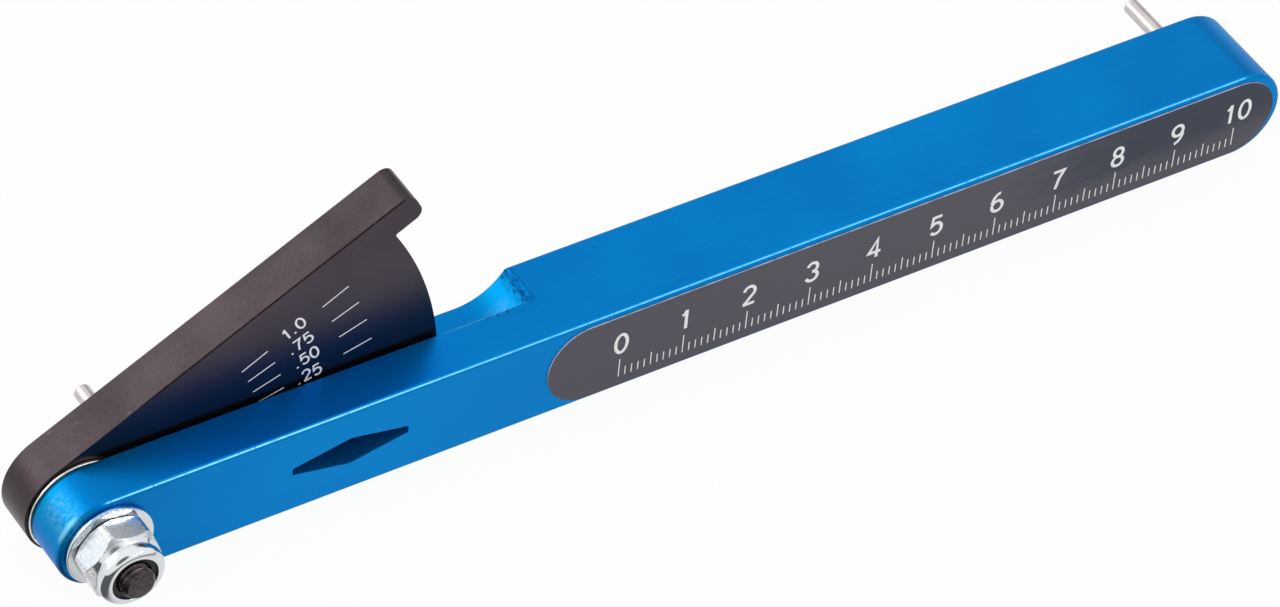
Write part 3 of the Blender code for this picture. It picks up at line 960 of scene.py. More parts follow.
class Workshop:
    """Turns outlines and profiles in millimetres into meshes in metres."""

    @staticmethod
    def finish(name: str, form: Form) -> Object:
        """Put a finished form into the scene as an object.

        Args:
            name: The object's name.
            form: The form, which is used up.

        Returns:
            The object.
        """
        bmesh.ops.recalc_face_normals(form, faces=form.faces)
        mesh = bpy.data.meshes.new(name)
        form.to_mesh(mesh)
        form.free()
        made = bpy.data.objects.new(name, mesh)
        bpy.context.scene.collection.objects.link(made)
        return made

    @classmethod
    def plate(
        cls,
        name: str,
        outline: Sequence[Vector],
        front_y: float,
        back_y: float,
        edge: float = 0.0,
        steps: int = 6,
    ) -> Object:
        """A flat plate.

        Args:
            name: The object's name.
            outline: Its outline.
            front_y: Where its front face is.
            back_y: Where its back face is.
            edge: The radius of the edges between its flat faces and its rim.
            steps: How many chords those edges have.

        Returns:
            The plate.
        """
        form = bmesh.new()
        front = [form.verts.new(Vector((p.x, front_y, p.y)) * MM) for p in outline]
        face = form.faces.new(front)
        raised = bmesh.ops.extrude_face_region(form, geom=[face])["geom"]
        verts = [g for g in raised if isinstance(g, bmesh.types.BMVert)]
        bmesh.ops.translate(form, verts=verts, vec=Vector((0, back_y - front_y, 0)) * MM)
        if edge:
            rims = [e for f in form.faces if len(f.verts) == len(outline) for e in f.edges]
            bmesh.ops.bevel(
                form,
                geom=rims,
                offset=edge * MM,
                offset_type="OFFSET",
                segments=steps,
                profile=0.5,
                affect="EDGES",
                clamp_overlap=True,
            )
        return cls.finish(name, form)

    @classmethod
    def turned(
        cls,
        name: str,
        profile: Sequence[Spot],
        centre: Spot,
        steps: int = 128,
        closed: bool = False,
        limit: Optional[Callable[[float, float], float]] = None,
    ) -> Object:
        """A piece turned about an axis along Y.

        Args:
            name: The object's name.
            profile: (radius, y) points.
            centre: The axis as (x, z).
            steps: How many sides the piece has round its axis.
            closed: Whether the profile's last point joins its first, as on a ring.
            limit: The greatest radius at a y and an angle, as on a thread.

        Returns:
            The piece.
        """
        form = bmesh.new()
        rings: List[List[bmesh.types.BMVert]] = []
        for radius, y in profile:
            ring = []
            for i in range(steps if radius > 0 else 1):
                angle = 2 * math.pi * i / steps
                reach = min(radius, limit(y, angle)) if limit and radius > 0 else radius
                spot = Vector((centre[0] + reach * math.cos(angle), y, centre[1] + reach * math.sin(angle)))
                ring.append(form.verts.new(spot * MM))
            rings.append(ring)
        pairs = list(zip(rings, rings[1:])) + ([(rings[-1], rings[0])] if closed else [])
        for one, two in pairs:
            for i in range(steps):
                j = (i + 1) % steps
                corners = [one[i % len(one)], one[j % len(one)], two[j % len(two)], two[i % len(two)]]
                form.faces.new(list(dict.fromkeys(corners)))
        return cls.finish(name, form)

    @classmethod
    def drill(cls, name: str, centre: Spot, radius: float, front_y: float, back_y: float) -> Object:
        """A round tool along Y, about an axis at (x, z)."""
        profile = [(0, back_y), (radius, back_y), (radius, front_y), (0, front_y)]
        return cls.turned(name, profile, centre, steps=64)

    @staticmethod
    def settle(piece: Object) -> None:
        """Apply the piece's modifiers to its mesh.

        Args:
            piece: The piece.
        """
        bpy.context.view_layer.update()
        shape = piece.evaluated_get(bpy.context.evaluated_depsgraph_get())
        mesh = bpy.data.meshes.new_from_object(shape)
        piece.modifiers.clear()
        piece.data = mesh

    @classmethod
    def cut(cls, piece: Object, tool: Object, off: Cut = Cut.AWAY, merged: bool = False) -> None:
        """Cut a piece with another, which is used up.

        Args:
            piece: What is cut.
            tool: What cuts it.
            off: What is cut off the piece.
            merged: Whether the piece's own overlapping shapes become one.
        """
        modifier = piece.modifiers.new(tool.name, "BOOLEAN")
        modifier.operation = off.value
        modifier.solver = "EXACT"
        modifier.use_self = merged
        modifier.object = tool
        cls.settle(piece)
        bpy.data.objects.remove(tool, do_unlink=True)

    @classmethod
    def merge(cls, piece: Object) -> Object:
        """Join a piece's overlapping shapes into one clean surface.

        Args:
            piece: The piece, whose shapes are closed.

        Returns:
            The piece.
        """
        corners = [Vector(corner) for corner in piece.bound_box]
        middle = (corners[0] + corners[6]) / 2
        form = bmesh.new()
        bmesh.ops.create_cube(form, size=2.0 * (corners[6] - corners[0]).length)
        bmesh.ops.translate(form, verts=form.verts, vec=middle)
        cls.cut(piece, cls.finish("merge_tool", form), Cut.OUTSIDE, merged=True)
        return piece

    @classmethod
    def shade(cls, piece: Object, sharp: float = 28.0, face_weight: int = 100) -> Object:
        """Shade round faces smooth, and keep flat faces flat.

        Args:
            piece: The piece.
            sharp: The angle in degrees above which an edge stays crisp.
            face_weight: How far the larger faces lead the shading.

        Returns:
            The piece.
        """
        piece.data.shade_smooth()
        piece.data.set_sharp_from_angle(angle=math.radians(sharp))
        even = piece.modifiers.new("even_shading", "WEIGHTED_NORMAL")
        even.keep_sharp = True
        even.weight = face_weight
        cls.settle(piece)
        return piece


@dataclass
class Assembly:
    """A sub-assembly: builds its pieces, dresses them and lets them ride on a body."""

    body: Body = Body.BAR
    made: List[Object] = field(default_factory=list)

    def build(self) -> List[Object]:
        """Make all of its pieces."""
        raise NotImplementedError

    def keep(self, piece: Object, finish: Finish, node: Optional[str] = None) -> None:
        """Dress a piece and give it its place in the frame.

        Args:
            piece: The piece, in its place at rest.
            finish: Its finish.
            node: The CAD node that it stands for, if it does.
        """
        piece.data.materials.clear()
        piece.data.materials.append(finish.material())
        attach(piece, self.body.value)
        if node:
            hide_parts(node)
        self.made.append(piece)


@dataclass
class Bar(Assembly):
    """The square bar: half-lapped for the arm, with a milled ledge and ramp and a reading window."""

    height: float = 14.3
    edge: float = 0.6
    lap_radius: float = 53.9
    ledge_drop: float = 4.45
    ledge_length: float = 5.4
    ledge_overlap: float = 3.0
    ramp_radius: float = 9.0
    lip_radius: float = 1.1
    window_from_pivot: float = 35.6
    window_length: float = 17.3
    window_height: float = 4.6
    window_tip: float = 1.15
    window_corner: float = 0.25
    pin_bore_radius: float = 1.24
    pin_bore_depth: float = 8.05
    screw_bore_radius: float = 2.5
    past: float = 1.0

    def build(self) -> List[Object]:
        """Cut the bar from its blank and finish it.

        Returns:
            The pieces.
        """
        blank = Outline.stadium(LAYOUT.pivot_x, LAYOUT.fixed_pin_x, LAYOUT.axis_z, self.height / 2)
        bar = Workshop.plate("anodised_bar", blank, LAYOUT.front_y, LAYOUT.back_y, self.edge, steps=8)
        before = LAYOUT.front_y - self.past
        behind = LAYOUT.back_y + self.past
        pin = (LAYOUT.fixed_pin_x, LAYOUT.axis_z)
        floor = LAYOUT.back_y - self.pin_bore_depth
        tools = [
            Workshop.plate("lap_tool", self._lap(), LAYOUT.wall_back_y, behind),
            Workshop.plate("ledge_tool", self._ledge(), LAYOUT.wall_back_y, behind),
            Workshop.plate("window_tool", self._window(), before, LAYOUT.wall_back_y + self.past),
            Workshop.drill("pivot_tool", LAYOUT.axis, self.screw_bore_radius, before, behind),
            Workshop.drill("pin_tool", pin, self.pin_bore_radius, floor, behind),
        ]
        for tool in tools:
            Workshop.cut(bar, tool)
        self.keep(Workshop.shade(bar), BlueAnodised(), "body")
        return self.made

    def _lap(self) -> List[Vector]:
        """What is cut away behind the front wall, up to an arc round the pivot.

        Returns:
            The outline's points.
        """
        arc = Outline.arc(LAYOUT.axis, self.lap_radius, -QUARTER, QUARTER, steps=128)
        left = LAYOUT.pivot_x - self.lap_radius
        return arc + [Vector((left, arc[-1].y)), Vector((left, arc[0].y))]

    def _ledge(self) -> List[Vector]:
        """What is milled off above the ledge: a flat, then a round ramp with a soft lip.

        Returns:
            The outline's points.
        """
        top = LAYOUT.axis_z + self.height / 2
        ledge_z = top - self.ledge_drop
        start = LAYOUT.pivot_x + self.lap_radius + self.ledge_length
        ramp = Vector((start, ledge_z + self.ramp_radius))
        lip_z = top - self.lip_radius
        reach = self.ramp_radius + self.lip_radius
        lip = Vector((start + math.sqrt(reach**2 - (ramp.y - lip_z) ** 2), lip_z))
        leave = math.atan2(*(lip - ramp).yx)
        inside = LAYOUT.pivot_x + self.lap_radius - self.ledge_overlap
        return [
            Vector((inside, top + self.past)),
            Vector((inside, ledge_z)),
            *Outline.arc(ramp, self.ramp_radius, -QUARTER, leave, steps=40),
            *Outline.arc(lip, self.lip_radius, leave + math.pi, QUARTER, steps=10)[1:],
            Vector((lip.x, top + self.past)),
        ]

    def _window(self) -> List[Vector]:
        """The window: a long six-sided diamond with blunt tips.

        Returns:
            The outline's points.
        """
        x = LAYOUT.pivot_x + self.window_from_pivot
        z = LAYOUT.axis_z
        length, height, tip = self.window_length / 2, self.window_height / 2, self.window_tip / 2
        corners = [(length, -tip), (length, tip), (0, height), (-length, tip), (-length, -tip), (0, -height)]
        return Outline.rounded([((x + dx, z + dz), self.window_corner) for dx, dz in corners], steps=8)


@dataclass
class SwingArm(Assembly):
    """The arm: a flat plate with a round pivot end, a fan and a tab, and the pin in its back."""

    body: Body = Body.ARM
    end_radius: float = 7.8
    fan_radius: float = 53.0
    fan_angle: float = math.radians(25.7)
    fan_corner: float = 0.8
    tab_length: float = 4.75
    tab_top_rounding: float = 0.36
    tab_low_rounding: float = 0.33
    tab_root: float = 0.3
    stop_slope: float = math.radians(-0.55)
    stop_line: float = 2.75
    edge: float = 0.25
    head_radius: float = 4.65
    head_rim: float = 0.35
    screw_bore: float = 2.5
    pin_bore: float = 1.24
    pin_bore_depth: float = 4.55
    pin_from_pivot: float = 10.64
    pin_angle: float = math.radians(-35.1)
    pin_foot_y: float = 2.45
    pin_tip_y: float = 19.75
    past: float = 1.0

    def build(self) -> List[Object]:
        """Make the plate, sink the screw's head and the pin's bore in its back, and add the pin.

        Returns:
            The pieces.
        """
        outline = [LAYOUT.swing(p.length, math.atan2(p.y, p.x)) for p in self._outline()]
        arm = Workshop.plate("swing_arm", outline, LAYOUT.arm_front_y, LAYOUT.arm_back_y, self.edge, steps=5)
        before = LAYOUT.arm_front_y - self.past
        behind = LAYOUT.arm_back_y + self.past
        rim = LAYOUT.arm_back_y - self.head_rim
        sink = [
            (0, behind),
            (self.head_radius, behind),
            (self.head_radius, rim),
            (self.screw_bore, rim - (self.head_radius - self.screw_bore)),
            (self.screw_bore, before),
            (0, before),
        ]
        Workshop.cut(arm, Workshop.turned("sink_tool", sink, LAYOUT.axis, steps=96))
        floor = LAYOUT.arm_back_y - self.pin_bore_depth
        spot = LAYOUT.swing(self.pin_from_pivot, self.pin_angle)
        Workshop.cut(arm, Workshop.drill("bore_tool", spot, self.pin_bore, floor, behind))
        self.keep(Workshop.shade(arm), BlackAnodised(), "indicator_arm")
        pin = DowelPin(centre=tuple(spot), foot_y=self.pin_foot_y, tip_y=self.pin_tip_y)
        self.keep(pin.make("arm_dowel_pin"), GroundSteel(), "moving_pin")
        return self.made

    def _outline(self) -> List[Vector]:
        """The arm's side view about its pivot, with its top edge along +X.

        Returns:
            The outline's points.
        """
        turn = Matrix.Rotation(-self.stop_slope, 2)
        tab_end = self.fan_radius + self.tab_length
        root = turn @ Vector((math.sqrt(self.fan_radius**2 - self.stop_line**2), self.stop_line))
        tip = turn @ Vector((tab_end, self.stop_line))
        height = self.end_radius - tip.y
        low = -self.fan_angle - math.asin(self.end_radius / self.fan_radius)
        fan = Outline.arc((0, 0), self.fan_radius, math.atan2(root.y, root.x), low, steps=72)
        end = Outline.arc((0, 0), self.end_radius, -self.fan_angle - QUARTER, -3 * QUARTER, steps=96)
        corners = [
            (Vector((tab_end, self.end_radius)), self.tab_top_rounding * height),
            (tip, self.tab_low_rounding * height),
            (fan[0], self.tab_root),
            *[(point, 0.0) for point in fan[1:-1]],
            (fan[-1], self.fan_corner),
            *[(point, 0.0) for point in end],
        ]
        return Outline.rounded(corners)


@dataclass(frozen=True)
class DowelPin:
    """A ground pin along Y with a rounded tip."""

    centre: Tuple[float, float]
    foot_y: float
    tip_y: float
    radius: float = 1.19
    rounding: float = 0.34

    def make(self, name: str) -> Object:
        """Turn the pin.

        Args:
            name: The object's name.

        Returns:
            The pin.
        """
        inner = self.radius - self.rounding
        tip = Outline.arc((inner, self.tip_y - self.rounding), self.rounding, QUARTER, 0, steps=10)
        profile = [(0, self.tip_y), *tip, (self.radius, self.foot_y), (0, self.foot_y)]
        return Workshop.shade(Workshop.turned(name, profile, self.centre, steps=96))


@dataclass
class PivotStack(Assembly):
    """The pivot: a countersunk socket screw through the arm and the bar, its washers and its locking nut."""

    head_radius: float = 4.6
    head_rim: float = 0.3
    end_y: float = -16.05
    end_chamfer: float = 0.5
    end_rounding: float = 0.12
    head_bevel: float = 0.1
    socket_width: float = 3.0
    socket_depth: float = 2.0
    socket_turn: float = 0.3
    thread_from_y: float = -12.4
    thread_pitch: float = 0.8
    thread_depth: float = 0.36
    thread_radius: float = 2.32
    thread_crest: float = 0.12
    thread_flank: float = 0.7
    thread_rows: int = 84
    nut_width: float = 9.9
    nut_turn: float = math.radians(-10)
    nut_hex: float = 4.4
    nut_chamfer: float = math.radians(42)
    nut_corner: float = 0.9
    collar_radius: float = 4.65
    collar_height: float = 2.2
    neck: float = 0.25
    rolled_share: float = 0.85
    lip_radius: float = 3.3
    lip_thickness: float = 0.35
    lip_rounding: float = 0.12
    insert_radius: float = 3.85
    insert_height: float = 1.6
    insert_edge: float = 0.2
    bore: float = 2.5
    seat_gap: float = 0.05
    past: float = 1.0
    nut_washer: Tuple[float, float, float] = (6.25, -8.0, -7.2)
    arm_washer: Tuple[float, float, float] = (7.4, 0.05, 0.55)
    washer_edge: float = 0.14

    def build(self) -> List[Object]:
        """Make the screw, the nut, its nylon ring and both washers.

        Returns:
            The pieces.
        """
        self.keep(self._screw(), BlackOxide(), "pivot_screw")
        self.keep(self._nut(), ZincPlate(), "lock_nut")
        front = LAYOUT.nut_back_y - self.nut_hex - self.collar_height + self.lip_thickness + self.seat_gap
        insert = (self.insert_radius, front, front + self.insert_height)
        self.keep(self._ring("nylon_locking_ring", *insert, self.insert_edge), DarkNylon(), "nut_insert")
        zinc_washer = self._ring("nut_side_washer", *self.nut_washer, self.washer_edge)
        self.keep(zinc_washer, ZincPlate(), "nut_washer")
        steel_washer = self._ring("arm_side_washer", *self.arm_washer, self.washer_edge)
        self.keep(steel_washer, StampedSteel(), "pivot_washer")
        return self.made

    def _ring(self, name: str, radius: float, front_y: float, back_y: float, edge: float) -> Object:
        """A washer or ring round the screw.

        Args:
            name: The object's name.
            radius: Its outer radius.
            front_y: Where its front is.
            back_y: Where its back is.
            edge: The radius of its outer edges.

        Returns:
            The ring.
        """
        corners = [
            ((self.bore, back_y), edge / 2),
            ((radius, back_y), edge),
            ((radius, front_y), edge),
            ((self.bore, front_y), edge / 2),
        ]
        profile = Outline.rounded(corners, steps=6)
        return Workshop.shade(Workshop.turned(name, profile, LAYOUT.axis, steps=160, closed=True))

    def _thread(self, y: float, angle: float) -> float:
        """The thread's radius.

        Args:
            y: The place along the screw.
            angle: The angle round it.

        Returns:
            The radius in millimetres.
        """
        if y > self.thread_from_y:
            return LAYOUT.screw_radius
        phase = (y / self.thread_pitch + angle / (2 * math.pi)) % 1.0
        slope = min(1.0, max(0.0, (abs(phase - 0.5) * 2 - self.thread_crest) / self.thread_flank))
        fade = min(1.0, (self.thread_from_y - y) / self.thread_pitch)
        threaded = self.thread_radius - self.thread_depth * slope
        return LAYOUT.screw_radius + (threaded - LAYOUT.screw_radius) * fade

    def _screw(self) -> Object:
        """The screw, with a hexagon socket in its head and a thread at its end.

        Returns:
            The screw.
        """
        back = LAYOUT.arm_back_y
        radius = LAYOUT.screw_radius
        rim = back - self.head_rim
        rows = self.thread_rows
        chamfer = self.end_chamfer
        small = self.end_rounding
        span = self.thread_from_y - self.end_y - chamfer
        threaded = [(radius, self.thread_from_y - span * i / rows) for i in range(rows + 1)]
        shares = [i / 6 for i in range(1, 6)]
        slope = [(radius - chamfer * i, self.end_y + chamfer - (chamfer - small) * i) for i in shares]
        end = Outline.arc((radius - chamfer - small, self.end_y + small), small, 0.0, -QUARTER, steps=4)
        profile = [
            (0, back),
            (self.head_radius - self.head_bevel, back),
            (self.head_radius, back - self.head_bevel),
            (self.head_radius, rim),
            (radius, rim - (self.head_radius - radius)),
            *threaded,
            *slope,
            *end,
            (0, self.end_y),
        ]
        limit = self._head_or_thread
        screw = Workshop.turned("pivot_screw_threaded", profile, LAYOUT.axis, steps=120, limit=limit)
        hexagon = Outline.hexagon(LAYOUT.axis, self.socket_width, self.socket_turn)
        socket = Workshop.plate("socket_tool", hexagon, back - self.socket_depth, back + self.past)
        Workshop.cut(screw, socket)
        return Workshop.shade(screw, sharp=40.0)

    def _head_or_thread(self, y: float, angle: float) -> float:
        """The greatest radius of the screw: its thread's, or its head's behind the shank."""
        return self._thread(y, angle) if y < LAYOUT.wall_back_y else self.head_radius

    def _nut(self) -> Object:
        """The nut: a turned blank with chamfers and a rolled collar, kept inside a hexagonal prism.

        Returns:
            The nut.
        """
        back = LAYOUT.nut_back_y
        front = back - self.nut_hex - self.collar_height
        hex_front = back - self.nut_hex
        flat = self.nut_width / 2
        corner = flat / math.cos(math.pi / 6) + self.seat_gap
        slope = math.tan(self.nut_chamfer)
        neck = self.collar_radius - self.neck
        seat = self.insert_radius + self.seat_gap
        seat_front = front + self.lip_thickness
        seat_back = seat_front + self.insert_height + 2 * self.seat_gap
        rolled = (self.collar_radius - self.lip_radius) * self.rolled_share
        corners = [
            ((self.bore, back), 0),
            ((flat, back), 0),
            ((corner, back - (corner - flat) * slope), 0),
            ((corner, hex_front + (corner - neck) * slope), 0),
            ((neck, hex_front), self.neck),
            ((neck, hex_front - self.neck), 0),
            ((self.collar_radius, hex_front - 2 * self.neck), self.neck),
            ((self.collar_radius, front), rolled),
            ((self.lip_radius, front), self.lip_rounding),
            ((self.lip_radius, seat_front), 0),
            ((seat, seat_front), 0),
            ((seat, seat_back), 0),
            ((self.bore, seat_back), 0),
        ]
        profile = Outline.rounded(corners, steps=12)
        nut = Workshop.turned("zinc_lock_nut", profile, LAYOUT.axis, steps=180, closed=True)
        points = Outline.hexagon(LAYOUT.axis, self.nut_width, self.nut_turn)
        prism = Outline.rounded([(point, self.nut_corner) for point in points], steps=8)
        tool = Workshop.plate("prism_tool", prism, front - self.past, back + self.past)
        Workshop.cut(nut, tool, Cut.OUTSIDE)
        return Workshop.shade(nut, sharp=20.0)


@dataclass
class FixedPin(Assembly):
    """The pin in the back of the bar's far end."""

    foot_y: float = -0.85
    tip_y: float = 19.05

    def build(self) -> List[Object]:
        """Turn the pin and set it in its bore.

        Returns:
            The pieces.
        """
        pin = DowelPin(centre=(LAYOUT.fixed_pin_x, LAYOUT.axis_z), foot_y=self.foot_y, tip_y=self.tip_y)
        self.keep(pin.make("bar_dowel_pin"), GroundSteel(), "fixed_pin")
        return self.made


@dataclass
class Marks:
    """Flat printed shapes that lie on a face looking towards -Y."""

    face_y: float
    thickness: float = 0.012
    lift: float = 0.001
    closing: float = 0.01
    sharpest_turn: float = 0.5

    def stroke(self, form: Form, path: Sequence[Vector], width: float) -> None:
        """Add a stroke of even width, which is a ring where its path ends at its start.

        Args:
            form: What it is added to.
            path: The points along its middle, as (x, z).
            width: Its width.
        """
        ring = (path[0] - path[-1]).length < width * self.closing
        points = list(path[:-1] if ring else path)
        count = len(points)
        front, back = self.face_y - self.thickness, self.face_y - self.lift
        sections = []
        for i, point in enumerate(points):
            came = (point - points[i - 1]).normalized() if ring or i else (points[1] - point).normalized()
            goes = (points[(i + 1) % count] - point).normalized() if ring or i + 1 < count else came
            along = (came + goes).normalized()
            side = Vector((-along.y, along.x)) * width / 2 / max(self.sharpest_turn, along.dot(goes))
            left, right = point + side, point - side
            corners = [(left, front), (right, front), (right, back), (left, back)]
            sections.append([form.verts.new(Vector((p.x, y, p.y)) * MM) for p, y in corners])
        for one, two in zip(sections, sections[1:] + (sections[:1] if ring else [])):
            for k in range(4):
                form.faces.new([one[k], one[(k + 1) % 4], two[(k + 1) % 4], two[k]])
        if not ring:
            form.faces.new(sections[0][::-1])
            form.faces.new(sections[-1])

    def number(
        self,
        form: Form,
        text: str,
        start: Vector,
        angle: float,
        height: float,
        width: float,
    ) -> None:
        """Add a number in plain strokes.

        Args:
            form: What it is added to.
            text: Its characters.
            start: The left end of its middle line, as (x, z).
            angle: The baseline's angle in radians.
            height: The characters' height.
            width: The strokes' width.
        """
        turn = Matrix.Rotation(-angle, 2)
        pen = 0.0
        for character in text:
            strokes, advance = Digits.of(character)
            for path in strokes:
                shifted = [Vector((x + pen, z)) * height / 2 for x, z in path]
                self.stroke(form, [start + p @ turn for p in shifted], width)
            pen += advance


class Digits:
    """Plain digits as strokes: each is 2 high and centred on its middle line."""

    ADVANCE = 1.46
    POINT_ADVANCE = 0.72
    MIDDLE = 0.62

    @staticmethod
    def _curve(centre: Point, half: Point, start: float, end: float, steps: int = 20) -> List[Point]:
        """Part of an ellipse, between two angles in degrees."""
        angles = [math.radians(start + (end - start) * i / steps) for i in range(steps + 1)]
        return [(centre[0] + half[0] * math.cos(a), centre[1] + half[1] * math.sin(a)) for a in angles]

    @classmethod
    def _loop(cls, height: float, half: Point, steps: int = 32) -> List[Point]:
        """A whole ellipse about the digit's middle, at a height."""
        return cls._curve((cls.MIDDLE, height), half, 90, 450, steps)

    @classmethod
    def of(cls, character: str) -> Tuple[List[List[Point]], float]:
        """One character.

        Args:
            character: A digit or a point.

        Returns:
            Its strokes, and how far the pen moves on.
        """
        if character == ".":
            return [[(0.14, -0.99), (0.14, -0.73)]], cls.POINT_ADVANCE
        bowl = cls._curve((cls.MIDDLE, -0.36), (0.52, 0.6), 148, -142, 28)
        hook = cls._curve((cls.MIDDLE, 0.42), (0.5, 0.55), 172, -28)
        upper = cls._curve((cls.MIDDLE, 0.48), (0.46, 0.48), 165, -88)
        lower = cls._curve((cls.MIDDLE, -0.46), (0.52, 0.5), 92, -165)
        shapes: Dict[str, List[List[Point]]] = {
            "0": [cls._loop(0.0, (0.52, 0.96), 40)],
            "1": [[(0.3, 0.5), (0.52, 0.64), (0.68, 0.96)], [(0.68, 1.0), (0.68, -1.0)]],
            "2": [hook + [(0.16, -0.9)], [(0.1, -0.9), (1.16, -0.9)]],
            "3": [upper, lower],
            "4": [[(0.86, -1.0), (0.86, 0.96), (0.1, -0.42), (1.22, -0.42)]],
            "5": [[(1.08, 0.88), (0.3, 0.88), (0.18, 0.0)] + bowl[1:]],
            "6": [cls._loop(-0.4, (0.5, 0.56)), cls._curve((0.86, -0.2), (0.76, 1.16), 172, 92)],
            "7": [[(0.1, 0.88), (1.14, 0.88), (0.72, 0.1), (0.44, -1.0)]],
            "8": [cls._loop(0.5, (0.42, 0.46)), cls._loop(-0.46, (0.5, 0.5))],
            "9": [cls._loop(0.4, (0.5, 0.56)), cls._curve((0.38, 0.2), (0.76, 1.16), -8, -88)],
        }
        return shapes[character], cls.ADVANCE


@dataclass
class FanScale(Assembly):
    """The scale printed on the fan: two columns of ticks with the numbers between them."""

    body: Body = Body.ARM
    numbers: Tuple[str, ...] = ("1.0", ".75", ".50", ".25")
    angles: Tuple[float, ...] = (1.2, -3.95, -9.05, -14.1)
    slips: Tuple[float, ...] = (0.08, 0.0, -0.08, -0.25)
    inner: Tuple[float, float] = (26.6, 30.85)
    outer: Tuple[float, float] = (39.85, 44.13)
    number_radii: Tuple[float, ...] = (33.5, 33.2, 33.05, 32.62)
    number_raises: Tuple[float, ...] = (0.3, 0.2, 0.15, -0.03)
    number_height: float = 2.1
    number_stroke: float = 0.29
    stroke: float = 0.17

    def build(self) -> List[Object]:
        """Print the ticks and the numbers.

        Returns:
            The pieces.
        """
        marks = Marks(LAYOUT.arm_front_y)
        form = bmesh.new()
        for degrees, slip in zip(self.angles, self.slips):
            angle = math.radians(degrees)
            for column in (self.inner, self.outer):
                marks.stroke(form, [LAYOUT.swing(radius + slip, angle) for radius in column], self.stroke)
        ticks = Workshop.finish("fan_ticks", form)
        self.keep(ticks, WhiteInk())
        places = zip(self.numbers, self.angles, self.number_radii, self.number_raises)
        for text, degrees, radius, lift in places:
            form = bmesh.new()
            angle = math.radians(degrees)
            turned = LAYOUT.rest_angle + angle
            start = LAYOUT.swing(radius, angle) + Outline.polar(lift, turned + QUARTER)
            marks.number(form, text, start, turned, self.number_height, self.number_stroke)
            number = Workshop.merge(Workshop.finish("fan_number_" + text.replace(".", ""), form))
            self.keep(number, WhiteInk())
        return self.made


@dataclass
class Label(Assembly):
    """The charcoal label on the bar's front, with a plain printed rule."""

    left_x: float = -16.89
    right_x: float = 88.05
    middle_z: float = 7.02
    radius: float = 6.33
    front_y: float = -7.35
    back_y: float = -7.16
    rule_from_x: float = -12.0
    rule_length: float = 100.0
    rule_z: float = 2.3
    rule_step: float = 1.0
    long_tick: float = 3.2
    middle_tick: float = 2.3
    short_tick: float = 1.5
    stroke: float = 0.16
    long_every: int = 10
    middle_every: int = 5
    number_z: float = 8.4
    number_height: float = 3.4
    number_stroke: float = 0.5
    number_before: float = 0.42

    def build(self) -> List[Object]:
        """Make the film and its print.

        Returns:
            The pieces.
        """
        outline = Outline.stadium(self.left_x, self.right_x, self.middle_z, self.radius, steps=64)
        film = Workshop.plate("label_film_sheet", outline, self.front_y, self.back_y)
        self.keep(film, LabelFilm(), "label")
        film.data.materials.append(FilmCore().material())
        for face in film.data.polygons:
            face.material_index = int(abs(face.normal.y) < 0.5)
        self.keep(self._print(), WhiteInk())
        return self.made

    def _print(self) -> Object:
        """The rule's ticks, with a number over each long one.

        Returns:
            The print.
        """
        marks = Marks(self.front_y)
        form = bmesh.new()
        count = int(self.rule_length / self.rule_step)
        for i in range(count + 1):
            x = self.rule_from_x + i * self.rule_step
            tick = self.short_tick
            if i % self.long_every == 0:
                tick = self.long_tick
            elif i % self.middle_every == 0:
                tick = self.middle_tick
            marks.stroke(form, [Vector((x, self.rule_z)), Vector((x, self.rule_z + tick))], self.stroke)
            if i % self.long_every == 0:
                text = str(i // self.long_every)
                width = sum(Digits.of(c)[1] for c in text) * self.number_height / 2
                start = Vector((x - width * self.number_before, self.number_z))
                marks.number(form, text, start, 0.0, self.number_height, self.number_stroke)
        return Workshop.merge(Workshop.finish("label_rule", form))


@dataclass(frozen=True)
class Softbox:
    """A soft area lamp that looks at the gauge."""

    name: str
    direction: Colour
    distance: float
    width: float
    height: float
    radiance: float
    colour: Colour = (1.0, 1.0, 1.0)

    def build(self, target: Vector) -> None:
        """Hang the lamp in its direction from the target, turned towards it.

        Args:
            target: What the lamp looks at.
        """
        lamp = bpy.data.lights.new(self.name, "AREA")
        lamp.shape = "RECTANGLE"
        lamp.size, lamp.size_y = self.width, self.height
        lamp.energy = self.radiance * math.pi * self.width * self.height
        lamp.color = self.colour
        made = bpy.data.objects.new(self.name, lamp)
        bpy.context.scene.collection.objects.link(made)
        out = Vector(self.direction).normalized()
        made.location = target + out * self.distance
        made.rotation_euler = out.to_track_quat("Z", "Y").to_euler()


@dataclass(frozen=True)
class Flag:
    """A dark card that only reflections show."""

    direction: Colour
    outer: float
    inner: float
    level: float

    def shade(self, graph: Graph, direction: Socket) -> Socket:
        """How much light the card leaves.

        Args:
            graph: The world's graph.
            direction: Where a ray points.

        Returns:
            1 away from the card, and the card's level on it.
        """
        middle = tuple(Vector(self.direction).normalized())
        settings = {"operation": "DOT_PRODUCT"}
        aim = graph.make("ShaderNodeVectorMath", settings, {0: direction, 1: middle})[1]
        return 1 - (1 - self.level) * graph.rise(aim, self.outer, self.inner)


